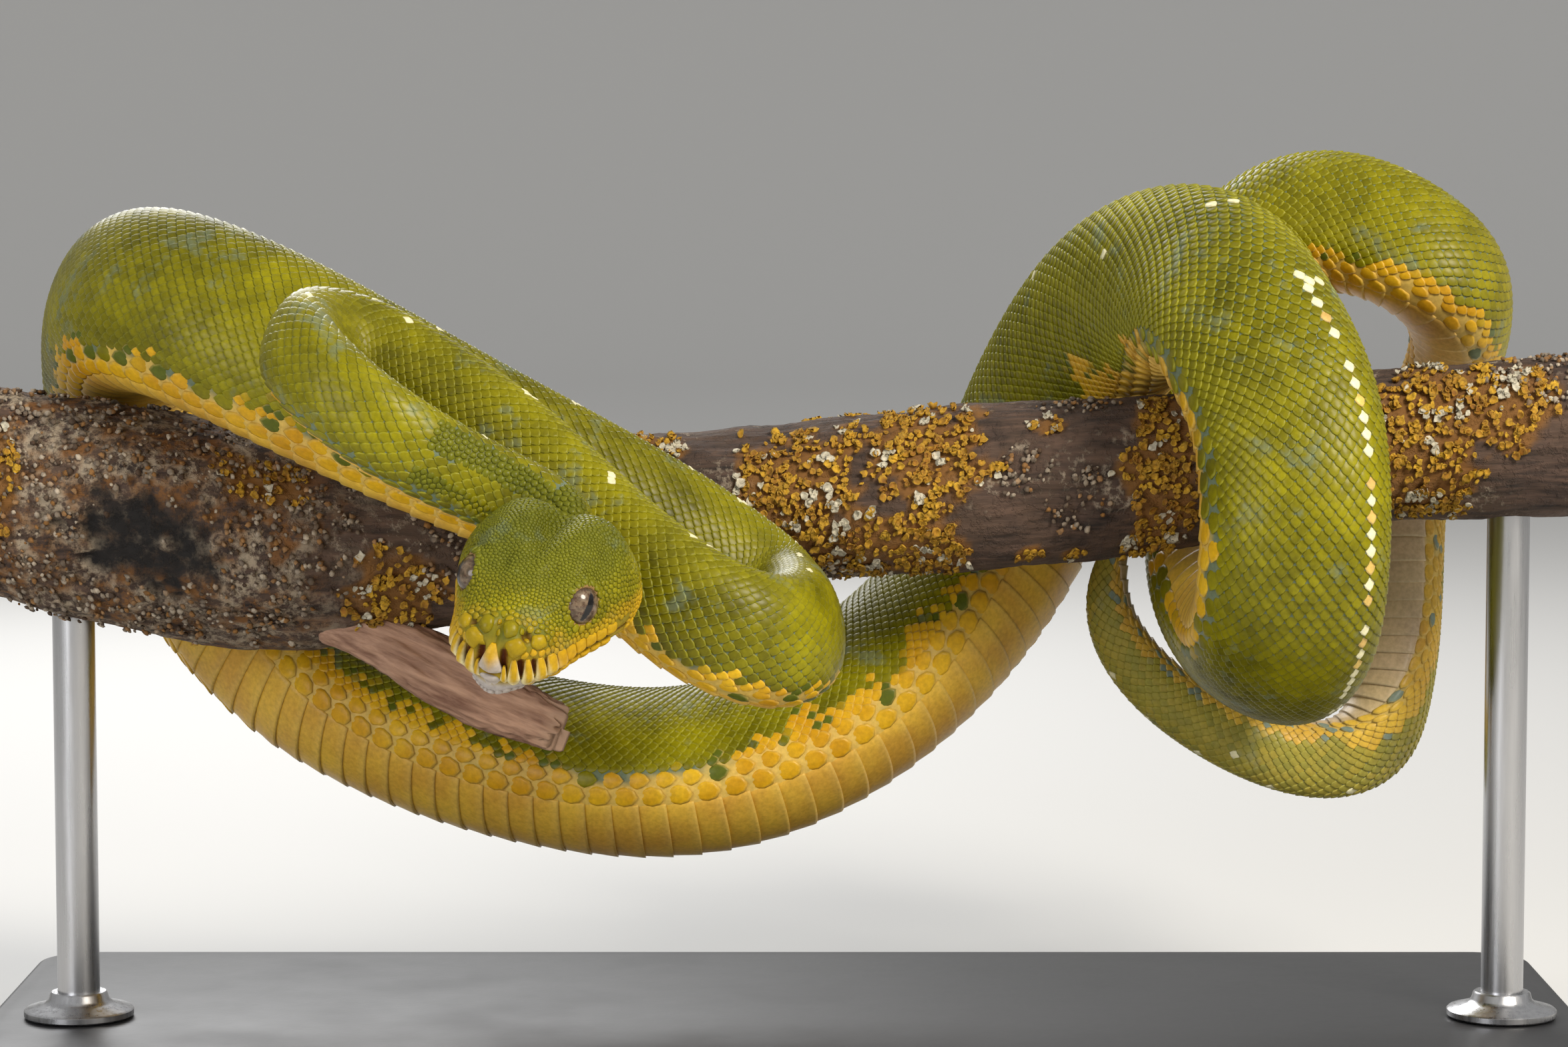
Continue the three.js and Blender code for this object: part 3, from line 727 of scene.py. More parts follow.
def lay(name, template, places, unwrap, numbers, rim, slot="skin"):
    """One mesh of copies: places is (copies, points, 3) in mm, unwrap (copies, 2), numbers per copy."""
    flat, _, faces = template
    copies, count = places.shape[:2]
    mesh = bpy.data.meshes.new(name)
    sizes = np.array([len(face) for face in faces])
    corners = np.concatenate([np.array(face) for face in faces])
    first = np.arange(copies)[:, None] * count
    loops = (first + corners).ravel()
    mesh.vertices.add(copies * count)
    mesh.loops.add(len(loops))
    mesh.polygons.add(copies * len(faces))
    mesh.vertices.foreach_set("co", (places * MM).ravel())
    mesh.loops.foreach_set("vertex_index", loops)
    starts = np.concatenate([[0], np.cumsum(np.tile(sizes, copies))[:-1]])
    mesh.polygons.foreach_set("loop_start", starts)
    mesh.update(calc_edges=True)
    mesh.validate()
    mesh.polygons.foreach_set("use_smooth", np.ones(len(mesh.polygons), bool))
    layer = mesh.uv_layers.new(name="OFBake")
    spots = unwrap[:, None] + flat[corners] * PATCH / 2
    layer.data.foreach_set("uv", spots.ravel())
    piece = bpy.data.objects.new(name, mesh)
    bpy.context.scene.collection.objects.link(piece)
    for key, values in (numbers | {"rim": rim * np.ones((copies, count))}).items():
        values = np.asarray(values, float)
        values = values if values.ndim == 2 else values[:, None]
        put(piece, key, (values * np.ones((copies, count))).ravel())
    stand_for(piece, slot)
    print(name, copies, "copies,", triangles(piece), "triangles")


def coat_numbers(s, arc, ragged, blotch_more=0):
    """The numbers that colour scales of the body, worked out from their places."""
    yellow, pale, blotch_and_shade = tint(s, arc, ragged)
    blotch_and_shade = np.maximum(blotch_and_shade, blotch_more)
    # The seed is raised on the tail to lighten its green: partly its own colour, partly painted light.
    return {"yellow": yellow, "pale": pale, "blotch_and_shade": blotch_and_shade, "blue": blotch_and_shade * tailward(s),
            "seed": ragged + TAIL_TONE_AND_LIGHT * tailward(s)}


def shaped(flat, front, rear):
    """A circle's points pressed to a rounded rhombus, blunt at the front and pointed at the rear."""
    turn = np.arctan2(flat[:, 1], flat[:, 0])
    power = np.where(np.cos(turn) > 0, rear, front)
    reach = (np.abs(np.cos(turn)) ** power + np.abs(np.sin(turn)) ** power) ** (-1 / power)
    return flat * reach[:, None]


# %% Rows of small scales over the back and flanks
DORSAL_SHARE = 0.655  # of the half circumference, from backbone to the large rows beside the belly
FRONT_POWER, REAR_POWER = 1.8, 1.35
SCALE_COVER = (1.36, 0.98)  # half length and half width over the spacing
RIM_HEIGHT, CROWN_HEIGHT, ROOT_DEPTH, FRONT_SINK = 0.56, 0.13, -0.34, 0.26


def row_width(s):
    """Round the body from one row of small scales to the next."""
    return 1.29 + 0.0095 * half_height(s)


def plate_step(s):
    """Along the body from one belly plate to the next."""
    return 3.06 * (1.0 + 0.04 * half_height(s))


def ring_step(s):
    """From one ring of small scales to the next: longer towards the head."""
    return 0.9 * row_width(s) * (1 + 0.35 * np.exp(-((s / 75) ** 2)))


def stations(start, end, step):
    """Places from start to end, each a step of its own length after the last."""
    found = [start]
    while found[-1] < end:
        found.append(found[-1] + float(step(found[-1])))
    return np.array(found)


def stretch_at(s, theta):
    """How much longer the skin is there than the middle line."""
    before, after = on_body(s - 0.4, theta), on_body(s + 0.4, theta)
    return ((after - before) * along_line(AHEAD, s)).sum(-1) / 0.8


def scale_heights(template, forward, size):
    """Heights over the skin: the wall's foot sunk, the rear of the rim raised, the crown a little more."""
    levels = template[1]
    rise = (RIM_HEIGHT + FRONT_SINK) * ramp(forward + 1, 2) ** 1.1 - FRONT_SINK
    tall = np.select([levels == UNDER, levels == RIM], [ROOT_DEPTH, rise], rise + CROWN_HEIGHT)
    return tall * size[:, None]


def back_places():
    """Length and arc of every small scale."""
    rings = stations(12, BODY_LENGTH - 3, ring_step)
    found = []
    for i, s in enumerate(rings):
        width = float(row_width(s))
        most = int(DORSAL_SHARE * HALF_ROUND * float(half_height(s)) / width)
        rows = np.arange(-most, most + 1)
        rows = rows[(rows + i) % 2 == 0]
        found.append(np.column_stack([np.full(len(rows), s), rows * width]))
    return np.concatenate(found)


def on_skin(s, arc, lift):
    """Points over the skin, arc round it from the backbone and raised by lift."""
    return on_body(s, theta_at(arc, s), lift - sunk(s))


def drape(points, lifts, reach=math.inf):
    """Points moved on to the melted skin and raised, and which copies lay further off than reach."""
    moved, far = np.empty_like(points), np.zeros(len(points), bool)
    for i, copy in enumerate(points):
        for j, point in enumerate(copy):
            near, normal, _, away = skin_tree.find_nearest(Vector(point))
            moved[i, j] = near + normal * lifts[i, j]
            far[i] |= away > reach
    return moved, far


NECK_DRAPED, DRAPE_REACH = 47.0, 1.6  # scales before this length are draped, if they lie this near


def settle(s, arc, tall):
    """Points of scales on the skin, by its own function or draped at the neck, and which to keep."""
    places = on_skin(s, arc, tall)
    keep = np.ones(len(places), bool)
    neck_ones = np.where(s.mean(1) < NECK_DRAPED)[0]
    flat = on_skin(s[neck_ones], arc[neck_ones], 0 * tall[neck_ones])
    draped, far = drape(flat, tall[neck_ones], DRAPE_REACH)
    places[neck_ones] = draped
    for i, middle, away in zip(neck_ones, draped.mean(1), far):
        face = skin_tree.find_nearest(Vector(middle))[2]
        keep[i] = not away and not near_head[front_faces[face][0]]
    return places, keep


rng = np.random.default_rng(7)
back = back_places()
ragged = rng.uniform(-1, 1, len(back))
size = 1 + rng.normal(0, 0.03, len(back))
width = row_width(back[:, 0])
stretch = np.clip(stretch_at(back[:, 0], theta_at(back[:, 1], back[:, 0])), 0.3, 3)
outline = shaped(SCALE[0], FRONT_POWER, REAR_POWER)
half_long = SCALE_COVER[0] * ring_step(back[:, 0]) * size * np.clip(stretch, 0.55, 1)
s_of = back[:, :1] + outline[:, 0] * (half_long / stretch)[:, None]
arc_of = back[:, 1:] + outline[:, 1] * (SCALE_COVER[1] * width * size)[:, None]
tall = scale_heights(SCALE, outline[:, 0], 0.35 + 0.027 * half_height(back[:, 0]))
back_points, kept = settle(s_of, arc_of, tall)
back, back_points = back[kept], back_points[kept]
back_numbers = coat_numbers(back[:, 0], back[:, 1], ragged[kept])
print(len(back), "small scales")


def place_on_unwrap(s, theta, start, end):
    """A place on the body's own unwrap, cut along the belly, for the stretch from start to end."""
    return np.column_stack([0.01 + 0.98 * (s - start) / (end - start), 0.5 + 0.49 * theta / math.pi])


COAT_ENDS = [0, 210, 340, 450, 560, 670, 780, 890, 1000, 1130, 1260, BODY_LENGTH + 5]
# The rear half of each scale's rim is painted paler: partly the scales' own pale edges, partly a painted
# highlight on the lit rear edges.
SCALE_RIM_AND_HIGHLIGHT = (SCALE[1] < CROWN) * ramp(SCALE[0][:, 0] + 0.45)
for number, (start, end) in enumerate(zip(COAT_ENDS, COAT_ENDS[1:]), 1):
    own = (back[:, 0] >= start) & (back[:, 0] < end)
    theta = theta_at(back[own, 1], back[own, 0])
    numbers = {key: values[own] for key, values in back_numbers.items()}
    numbers["fleck"] = 0.55 + 0.6 * (SCALE[1] < CROWN) * np.ones((own.sum(), 1))
    lay(f"scales_back_{number}", SCALE, back_points[own],
        place_on_unwrap(back[own, 0], theta, start, end), numbers, SCALE_RIM_AND_HIGHLIGHT)

# %% [markdown]
# ## Broad plates under the belly
#
# Below, a snake walks on one row of wide plates, each overlapping the next like roof tiles, with two
# rows of larger scales between them and the flanks. The plate starts as a grid with thickness, its
# edges rounded by the height that it is laid at.

# %% Belly plates and the two large rows on each side
PLATE_SHARE, NEAR_SHARE, FAR_SHARE = 0.21, 0.075, 0.06  # of the half circumference, each side
BELLY_GREY = 0.5  # how far the tail's belly turns grey
PLATE_COVER, PLATE_BOW = 0.62, 0.1  # half length over the spacing, and how far the sides lie ahead


def belly_arc(aside, s):
    """Distance round from the backbone for a distance to the side of the belly's middle."""
    side = np.where(aside < 0, -1.0, 1.0)
    return side * (HALF_ROUND * half_height(s) - np.abs(aside))


def edge_fall(flat):
    """How far a plate's edges are rounded down, 0 inside to 1 at the sides."""
    return ramp(np.abs(flat[:, 1]) - 0.9, 0.1) ** 2


rings = stations(10, BODY_LENGTH - 6, plate_step)
flat, levels, _ = PLATE
belly_at = theta_at(belly_arc(np.full(len(rings), 0.1), rings), rings)
stretch = np.clip(stretch_at(rings, belly_at), 0.45, 3)
half_long = PLATE_COVER * plate_step(rings) * np.clip(stretch, 0.5, 1.12) / stretch
s_of = rings[:, None] + (flat[:, 0] - PLATE_BOW * flat[:, 1] ** 2) * half_long[:, None]
aside = flat[:, 1] * (1.02 * PLATE_SHARE * HALF_ROUND * half_height(rings))[:, None]
rise = 0.12 + 0.5 * ramp(flat[:, 0] + 1, 2) ** 1.5
rise = rise - 0.35 * edge_fall(flat) - 0.25 * (flat[:, 0] < -0.9)
rise = rise * (levels > 0) + ROOT_DEPTH * (levels == 0)
plate_points, kept = settle(s_of, belly_arc(aside, s_of), rise * np.ones_like(s_of))
unwrap = place_on_unwrap(rings, math.pi * 0.995 * np.ones_like(rings), 0, BODY_LENGTH)
# The plates' rear edges are painted paler: partly their own pale seams, partly a painted highlight.
plate_rim_and_highlight = ramp(flat[:, 0] - 0.6, 0.4) * 0.8 + (levels == 0)
numbers = {"yellow": np.ones(kept.sum()), "seed": rng.uniform(-1, 1, kept.sum()),
           "pale": 0.08 + 0.14 * tailward(rings[kept]), "grey": BELLY_GREY * tailward(rings[kept])}
lay("scales_belly", PLATE, plate_points[kept], unwrap[kept], numbers, plate_rim_and_highlight)


def side_row(name, middle_share, half_share, shift, long, front, rear):
    """One row of large scales on both sides, spaced as the belly plates and shifted by part of a space.

    Its middle and half width are shares of the half circumference, long is the half length over the
    space, and front and rear are the roundness of a scale's two ends.
    """
    at = np.repeat(rings[:-1] + shift * np.diff(rings), 2)
    side = np.tile([1.0, -1.0], len(rings) - 1)
    arc = side * middle_share * HALF_ROUND * half_height(at)
    theta = theta_at(arc, at)
    stretch = np.clip(stretch_at(at, theta), 0.4, 3)
    outline = shaped(SCALE[0], front, rear)
    half = long * plate_step(at) * np.clip(stretch, 0.5, 1.05) / stretch
    s_of = at[:, None] + outline[:, 0] * half[:, None]
    arc_of = arc[:, None] + outline[:, 1] * (half_share * HALF_ROUND * half_height(at))[:, None]
    tall = scale_heights(SCALE, outline[:, 0], plate_step(at) / 5)
    places, kept = settle(s_of, arc_of, tall)
    ragged = rng.uniform(-1, 1, len(at))
    single = (ragged > 0.86 - 0.3 * tailward(at)) & (share_of(at, arc) < 0.74)
    numbers = {key: values[kept] for key, values in coat_numbers(at, arc, ragged, single).items()}
    lay(name, SCALE, places[kept], place_on_unwrap(at, theta, 0, BODY_LENGTH)[kept], numbers, SCALE_RIM_AND_HIGHLIGHT)


side_row("scales_side_near", 1 - PLATE_SHARE - NEAR_SHARE / 2, 0.56 * NEAR_SHARE,
         shift=0, long=0.56, front=2.4, rear=1.9)
side_row("scales_side_far", 1 - PLATE_SHARE - NEAR_SHARE - FAR_SHARE / 2, 0.58 * FAR_SHARE,
         shift=0.5, long=0.5, front=2, rear=1.5)

# %% [markdown]
# ## The coat of the head
#
# The head is covered by nearly three thousand tiny many-sided scales, packed like pebbles and smallest
# on the crown, with large smooth plates only round the nostrils and along the lips. Such a packing can't
# be drawn by hand. Seeds are scattered with a wanted spacing and pushed apart by moving each to the
# middle of its own patch; every scale then fills the patch nearer to its seed than to any other.

# %% Where the head's scales go and how large they are
LIP_CORNER = -10.5  # forward coordinate where the lip plates end
LOWER_LIP = 3.4  # height of the plates along the lower lip
GRANULE, CHIN_GRANULE = 0.87, 1.75  # spacing of the scales on the crown and under the jaw


def lip_tall(run):
    """Height of the upper lip plates along the lips."""
    return np.interp(np.abs(run), [0, 2.9, 3.6, 8, 14, 20, 30, 45], [5, 3.6, 5.4, 5, 4.5, 3.9, 3.5, 3.2])


def granule_size(face):
    """Wanted spacing of the head's scales at points in head coordinates."""
    f, apart, up = face[:, 0], np.abs(face[:, 1]), face[:, 2]
    rise = up - mouth(f)
    size = GRANULE + 0.6 * ramp(f - 6, 7) + 0.75 * ramp(-13 - f, 9)
    size = np.maximum(size, GRANULE + 0.3 * ramp(apart - 9, 4) * (up < 2))
    near_lip = ramp(1 - (rise - lip_tall(lip_run(face))) / 2.5) * (f > -12)
    size = np.maximum(size, GRANULE + 0.55 * near_lip)
    return np.where(rise < 0, CHIN_GRANULE, size)


skin_face = to_head(skin_points)
face_rise = skin_face[:, 2] - mouth(skin_face[:, 0])
head_ids = np.where(near_head)[0]
face_run = np.zeros(len(skin_points))
face_run[head_ids] = lip_run(skin_face[head_ids])
in_lips = (face_rise < lip_tall(face_run) + 0.1) & (face_rise > -LOWER_LIP) & (skin_face[:, 0] > LIP_CORNER)
eye_off, eye_ahead = eye_distances(skin_face)
EYE_RING, EYE_SCALES, EYE_SCALE = 4.95, 16, 1.75  # the ring of scales round the eye, and their width
in_eye = (eye_ahead > -2) & (eye_off < EYE_RING - 0.6)
# Large plates of the nose: forward, left and up of the middle, and width.
NOSE = [(14.4, 2.5, 1.7, 5.8), (16.2, 4.8, -0.9, 6.6), (12.6, 7.8, -1.2, 5.0)]
# Places where no small scale goes but which bound the large plates: their tops and the pits.
HELD = [(17.7, 0.01, -0.6, 2.6), (18.3, 1.6, -3.6, 2.2), (17.4, 4.4, -4.6, 2.0), (16.2, 7.2, -5.2, 2.0),
        (14.4, 9.2, -5.0, 1.8)]
NOSTRIL = np.array([13.8, 5.6, 0.2])
nostril_off = np.linalg.norm(skin_face * [1, 0, 1] + np.abs(skin_face) * [0, 1, 0] - NOSTRIL, axis=1)
fit = near_head & ~in_lips & ~in_eye & (nostril_off > 0.7)
fit &= ~((np.abs(skin_face[:, 1]) < 3) & (skin_face[:, 0] > 16.2) & (skin_face[:, 2] > -9))
print("room for the head's scales:", fit.sum(), "points")

# %% Scatter the seeds and even them out
RELAXING = 6


def nearest_of(points):
    """A tree that finds the nearest of some points."""
    tree = kdtree.KDTree(len(points))
    for i, point in enumerate(points):
        tree.insert(Vector(point), i)
    tree.balance()
    return tree


def on_melted(point):
    """The nearest place on the melted skin."""
    return skin_tree.find_nearest(Vector(point))[0]


ids = np.where(fit)[0]
wanted = granule_size(skin_face[ids])
fixed = [[f, side * left, up] for f, left, up, _ in NOSE + HELD for side in (1, -1)]
fixed_size = [width for _, _, _, width in NOSE + HELD for side in (1, -1)]
for angle in np.arange(EYE_SCALES) * 2 * math.pi / EYE_SCALES:
    aside = math.cos(angle) / EYE_NARROW * EYE_ACROSS + math.sin(angle) * EYE_UP
    ring_at = EYE_AT + EYE_FACING * 2.0 + EYE_RING * aside
    for hand in HANDS.values():
        fixed.append(list(ring_at * hand))
        fixed_size.append(EYE_SCALE)
fixed = to_world(np.array(fixed))
for i, point in enumerate(fixed):
    fixed[i] = on_melted(point)
seeds, seed_size = list(fixed), list(fixed_size)
for i in rng.permutation(len(ids)):
    gap = np.linalg.norm(np.array(seeds) - skin_points[ids[i]], axis=1)
    room = 0.36 * (np.array(seed_size) + wanted[i])
    room[:2 * len(NOSE)] += 0.12 * np.array(seed_size[:2 * len(NOSE)])
    if (gap > room).all():
        seeds.append(skin_points[ids[i]])
        seed_size.append(wanted[i])
seeds, seed_size = np.array(seeds), np.array(seed_size)
for step in range(RELAXING):
    tree = nearest_of(seeds)
    owner = np.array([tree.find(Vector(skin_points[i]))[1] for i in ids])
    weight = 1 / wanted ** 4
    total = np.bincount(owner, weight, len(seeds))
    middle = np.stack([np.bincount(owner, weight * skin_points[ids, c], len(seeds)) for c in range(3)], -1)
    move = (total > 0) & (np.arange(len(seeds)) >= len(fixed))
    seeds[move] = middle[move] / total[move, None]
for i in range(len(fixed), len(seeds)):
    seeds[i] = on_melted(seeds[i])
seed_size[len(fixed):] = granule_size(to_head(seeds[len(fixed):]))
print(len(seeds), "seeds")

# %% Cut each scale to the patch nearest to its seed
GROUT = 0.04  # bare skin left round each scale


def cell_reach(seed, size, normal, others, other_sizes, angles):
    """Distance to the edge of the seed's own patch in each direction."""
    first = unit(np.cross(normal, FORWARD + 0.01))
    second = np.cross(normal, first)
    offset = others - seed
    flat = np.stack([offset @ first, offset @ second], -1)
    share = size / (size + other_sizes)
    length = (flat ** 2).sum(1) * share
    way = np.stack([np.cos(angles), np.sin(angles)], -1)
    against = flat @ way.T
    reach = np.where(against > 1e-6, length[:, None] / np.maximum(against, 1e-6), 1e3)
    reach = np.minimum(reach.min(axis=0), 0.72 * size)
    smooth = (np.roll(reach, 1) + np.roll(reach, -1)) / 2
    return np.minimum(reach, 0.5 * (reach + smooth)) - GROUT, first, second


def granules(template, chosen, sinks, rises):
    """Points of the chosen seeds' scales; sinks and rises are the heights of their levels."""
    flat, levels, _ = template
    angles, out = np.arctan2(flat[:, 1], flat[:, 0]), np.hypot(flat[:, 0], flat[:, 1])
    tree = nearest_of(seeds)
    made = []
    for i in chosen:
        near, normal, _, _ = skin_tree.find_nearest(Vector(seeds[i]))
        normal = np.array(normal)
        around = [j for _, j, _ in tree.find_range(Vector(seeds[i]), 2.6 * seed_size[i] + 1.5) if j != i]
        reach, first, second = cell_reach(np.array(near), seed_size[i], normal, seeds[around],
                                          seed_size[around], angles)
        side = (reach * out)[:, None]
        spot = np.array(near) + side * (np.cos(angles)[:, None] * first + np.sin(angles)[:, None] * second)
        height = np.select([levels == UNDER, levels == RIM], [sinks, rises[0]], rises[1])
        made.append(spot + normal * (height * (0.4 + 0.6 * seed_size[i]))[:, None])
    return np.array(made)


def face_numbers(face, ragged):
    """Yellow, grey, the darker crown, seed and fleck for scales of the head."""
    f, rise = face[:, 0], face[:, 2] - mouth(face[:, 0])
    mottle = speckle(face * [1, 1, 1.4], 3.2, 2)
    low = ramp(9.5 - rise, 8) + 0.5 * ramp(f - 6, 8) + 0.3 * mottle
    yellow = np.clip(1.1 * (low - 0.25), 0, 0.95)
    yellow = np.where(rise < 0, ramp(0.8 + 0.3 * mottle), yellow)
    grey = ramp(f - 12.5, 2.5) * ramp(-rise - 1, 1.2)
    dark = 0.6 * ramp(rise - 10.5, 4) * ramp(8 - f, 6)
    return {"yellow": yellow, "grey": 0.9 * grey, "blotch_and_shade": dark, "seed": ragged, "fleck": 0.35 + 0 * f}


def face_unwrap(face):
    """Places on the head's own unwrap, which is its plan from above."""
    return np.column_stack([0.5 + face[:, 1] / 60, 0.5 + face[:, 0] / 60])


small = np.arange(2 * len(NOSE + HELD), len(seeds))
small_points = granules(SCALE, small, -0.25, (0.13, 0.27))
small_face = to_head(seeds[small])
# The head's scales carry the same paler rims, a little weaker: partly their own edges, partly a painted
# highlight.
lay("scales_head", SCALE, small_points, face_unwrap(small_face),
    face_numbers(small_face, rng.uniform(-1, 1, len(small))), SCALE_RIM_AND_HIGHLIGHT * 0.7)

# %% [markdown]
# The nose carries six large smooth plates, like small domed shields. Each could be cut from the skin and
# raised, but a button with more steps has a rounder shoulder. It is spread to its own patch as the small
# scales are, and then laid on the relief of the snout.

# %% The smooth plates of the nose
BUTTON = pattern(button(28, [0.12, 0.28, 0.3]))  # a wall, a rounded shoulder and a nearly flat top
BUTTON_LIFTS = np.array([-0.5, 0.1, 0.45, 0.7, 0.8])
nose = np.arange(2 * len(NOSE))
flat_points = granules(BUTTON, nose, 0.0, (0.0, 0.0))
nose_points, _ = drape(flat_points, np.tile(BUTTON_LIFTS[BUTTON[1]], (len(nose), 1)))
nose_face = to_head(seeds[nose])
numbers = face_numbers(nose_face, rng.uniform(-1, 1, len(nose)))
numbers["yellow"] = np.repeat([0.1, 0.35, 0.35], 2)
# The outer edge of each nose plate is painted paler, partly as a painted highlight.
lay("scales_nose", BUTTON, nose_points, face_unwrap(nose_face), numbers, 0.4 * (BUTTON[1] < CROWN))

# %% [markdown]
# The lip plates stand in two rows along the mouth. Towards the snout the upper ones rise as narrow
# petals with the heat-sensing pits between them, and their pale tips hang over the lower jaw. Each is
# the belly's slab again, with its own width at every height, laid on the head's plain form so that
# it bridges the pits' edges.

# %% Plates along the lips
LABIAL = pattern(plate_pattern(8, 12))
# Upper plates on one side: run along the lips, half width low, half width high, lowest rise, dome.
UPPER = [
    (2.95, 0.9, 0.3, -1.4, 0.7), (5.0, 1.75, 0.55, -1.9, 0.9), (8.05, 1.7, 0.55, -2.3, 0.95),
    (11.0, 1.6, 0.8, -1.9, 0.85), (13.9, 1.5, 1.2, -1.1, 0.6), (16.8, 1.5, 1.35, 0.0, 0.45),
]
UPPER_REST = [(19.7 + 3.1 * i, 1.5, 1.45, 0.6, 0.4) for i in range(5)]
LOWER = [(3.9 + 3.05 * i, 1.45, 1.45, -LOWER_LIP, 0.3 + 0.3 * (i > 3)) for i in range(10)]


def on_lips(run, rise, lift):
    """World points over the head's plain form beside the lips, raised outwards by lift."""
    on_line = lip_place(run, rise)
    before, after = lip_place(run - 0.6, rise), lip_place(run + 0.6, rise)
    along = unit(after - before)
    outward = unit(np.stack([along[:, 1], -along[:, 0], 0 * run], -1))
    made = []
    for spot, way, high in zip(on_line, outward, lift):
        start, aim = to_world(spot + way * 6), to_world(way) - HEAD_AT
        hit, normal, _, _ = plain_tree.ray_cast(Vector(start), Vector(-aim))
        if hit is None:
            hit, normal, _, _ = plain_tree.find_nearest(Vector(to_world(spot)))
        made.append(np.array(hit) + unit(np.array(normal) + aim) * high)
    return np.array(made)


def lip_plate(run, wide_low, wide_high, lowest, highest, dome, point_down=True):
    """Points of one lip plate, with how low each lies on it and how near its sides."""
    flat, levels, _ = LABIAL
    t = (flat[:, 1] + 1) / 2
    ends = ramp(1 - t / 0.28) if point_down else ramp(1 - t / 0.12)
    top = ramp(t - 0.85, 0.15)
    half = (wide_low + (wide_high - wide_low) * t) * np.sqrt(1 - 0.88 * ends ** 2) * (1 - 0.3 * top ** 2)
    rise = lowest + (highest - lowest) * t
    round_off = np.sqrt(ramp(1 - 0.96 * flat[:, 0] ** 2)) * ramp(4 * (1.02 - t)) ** 0.5
    lift = np.where(levels == 0, -0.5, 0.08 + dome * round_off * (0.55 + 0.45 * ramp(t * 5)))
    return on_lips(run + flat[:, 0] * half, rise, lift), 1 - t, np.abs(flat[:, 0])


lips = []


def keep_lip(points, spot, pale, grey, yellow):
    """Keeps a plate with its place on the unwrap and its colours, a number or one for each point."""
    each = np.ones(len(points))
    lips.append((points, spot, pale * each, grey * each, yellow * each))


for side in (1, -1):
    for run, low, high, lowest, dome in UPPER + UPPER_REST:
        points, down, edge = lip_plate(side * run, low, high, lowest, float(lip_tall(run)), dome)
        front = ramp(18 - run, 6)
        pale = front * np.clip(1.5 * (down - 0.55) + 1.1 * edge ** 2 - 0.1, 0, 0.8)
        keep_lip(points, (side * run, 1.0), pale, 0, 0.72 + 0.25 * (1 - front) * down)
    for run, low, high, lowest, dome in LOWER:
        highest = -0.45 - 0.5 * float(ramp(run - 12, 4))
        points, down, edge = lip_plate(side * run, low, high, lowest, highest, dome, point_down=False)
        white = ramp(12 - run, 4)
        keep_lip(points, (side * run, -1.0), 0.25 * white, 0.85 * white, 0.8)
# The middle plate of the upper lip, and the one under it on the chin.
points, down, edge = lip_plate(0.0, 2.9, 0.8, 2.0, 8.0, 0.7, point_down=False)
keep_lip(points, (0.0, 1.0), 0.5 * edge * down, np.clip(0.9 * edge * down + 1.6 * down - 0.7, 0, 0.8), 0.8)
points, down, edge = lip_plate(0.0, 2.0, 2.3, -4.4, 1.0, 0.8, point_down=False)
keep_lip(points, (0.0, -1.0), 0.3 * edge, 0.85, 0.5)
lip_points, lip_spot, pale, grey, yellow = [np.array(values) for values in zip(*lips)]
unwrap = np.column_stack([0.5 + lip_spot[:, 0] / 90, 0.02 + 0.01 * lip_spot[:, 1]])
numbers = {"pale": pale, "grey": grey, "yellow": yellow, "seed": rng.uniform(-1, 1, len(lips))}
lay("scales_lips", LABIAL, lip_points, unwrap, numbers, 0.0 * LABIAL[1], "lips")

# %% The same numbers on the skin
skin_arc = np.sign(skin_theta) * np.interp(np.abs(skin_theta), ROUND, ARC) * half_height(skin_s)
yellow, pale, blotch_and_shade = tint(skin_s, skin_arc, 0 * skin_s)
face = face_numbers(skin_face, 0 * skin_s)
yellow, pale = np.where(near_head, face["yellow"], yellow), np.where(near_head, 0, pale)
# The heat pits are darkened towards red-brown, partly their own dark red and partly painted shade; the
# crease along the mouth and the nostrils get painted shade.
pit_red_and_shade_mask = np.zeros(len(skin_s))
pit_red_and_shade_mask[head_ids] = ramp(-relief(skin_face[head_ids])[1] * 1.6 - 0.15)
pit_red_and_shade_mask = np.maximum(pit_red_and_shade_mask, near_head * ramp(1.6 - nostril_off))
lid = near_head * (eye_ahead > 0) * ramp(EYE_RING - 0.3 - eye_off, 0.3)
belly_grey = BELLY_GREY * tailward(skin_s) * (share_of(skin_s, skin_arc) > 1 - PLATE_SHARE)
# On the head the blotch number darkens the skin between the scales: painted shade in the gaps.
skin_numbers = {"yellow": yellow, "pale": pale, "pit_red_and_shade": pit_red_and_shade_mask * (1 - lid), "tan": lid,
                "blotch_and_shade": np.where(near_head, 0.6 * (1 - lid), blotch_and_shade), "blue": blotch_and_shade * tailward(skin_s),
                "grey": np.where(near_head, face["grey"], belly_grey),
                "fleck": np.where(near_head, 0.35, 1), "bare": np.where(near_head, 0.06 * (1 - lid), 0.75)}
for key, values in skin_numbers.items():
    put(skin, key, values * np.ones(len(skin_s)))

# %% [markdown]
# ## The eyes
#
# A snake has no lids: each eye is a globe behind a clear scale, always open, with an upright slit for
# its pupil. The globe is a sphere turned to face outwards. Its iris is drawn by nodes from two numbers
# stored on the mesh, across and up, and a clear coat gives the wet shine.

# %% Eyes
PUPIL_WIDE, PUPIL_TALL = 0.78, 3.0


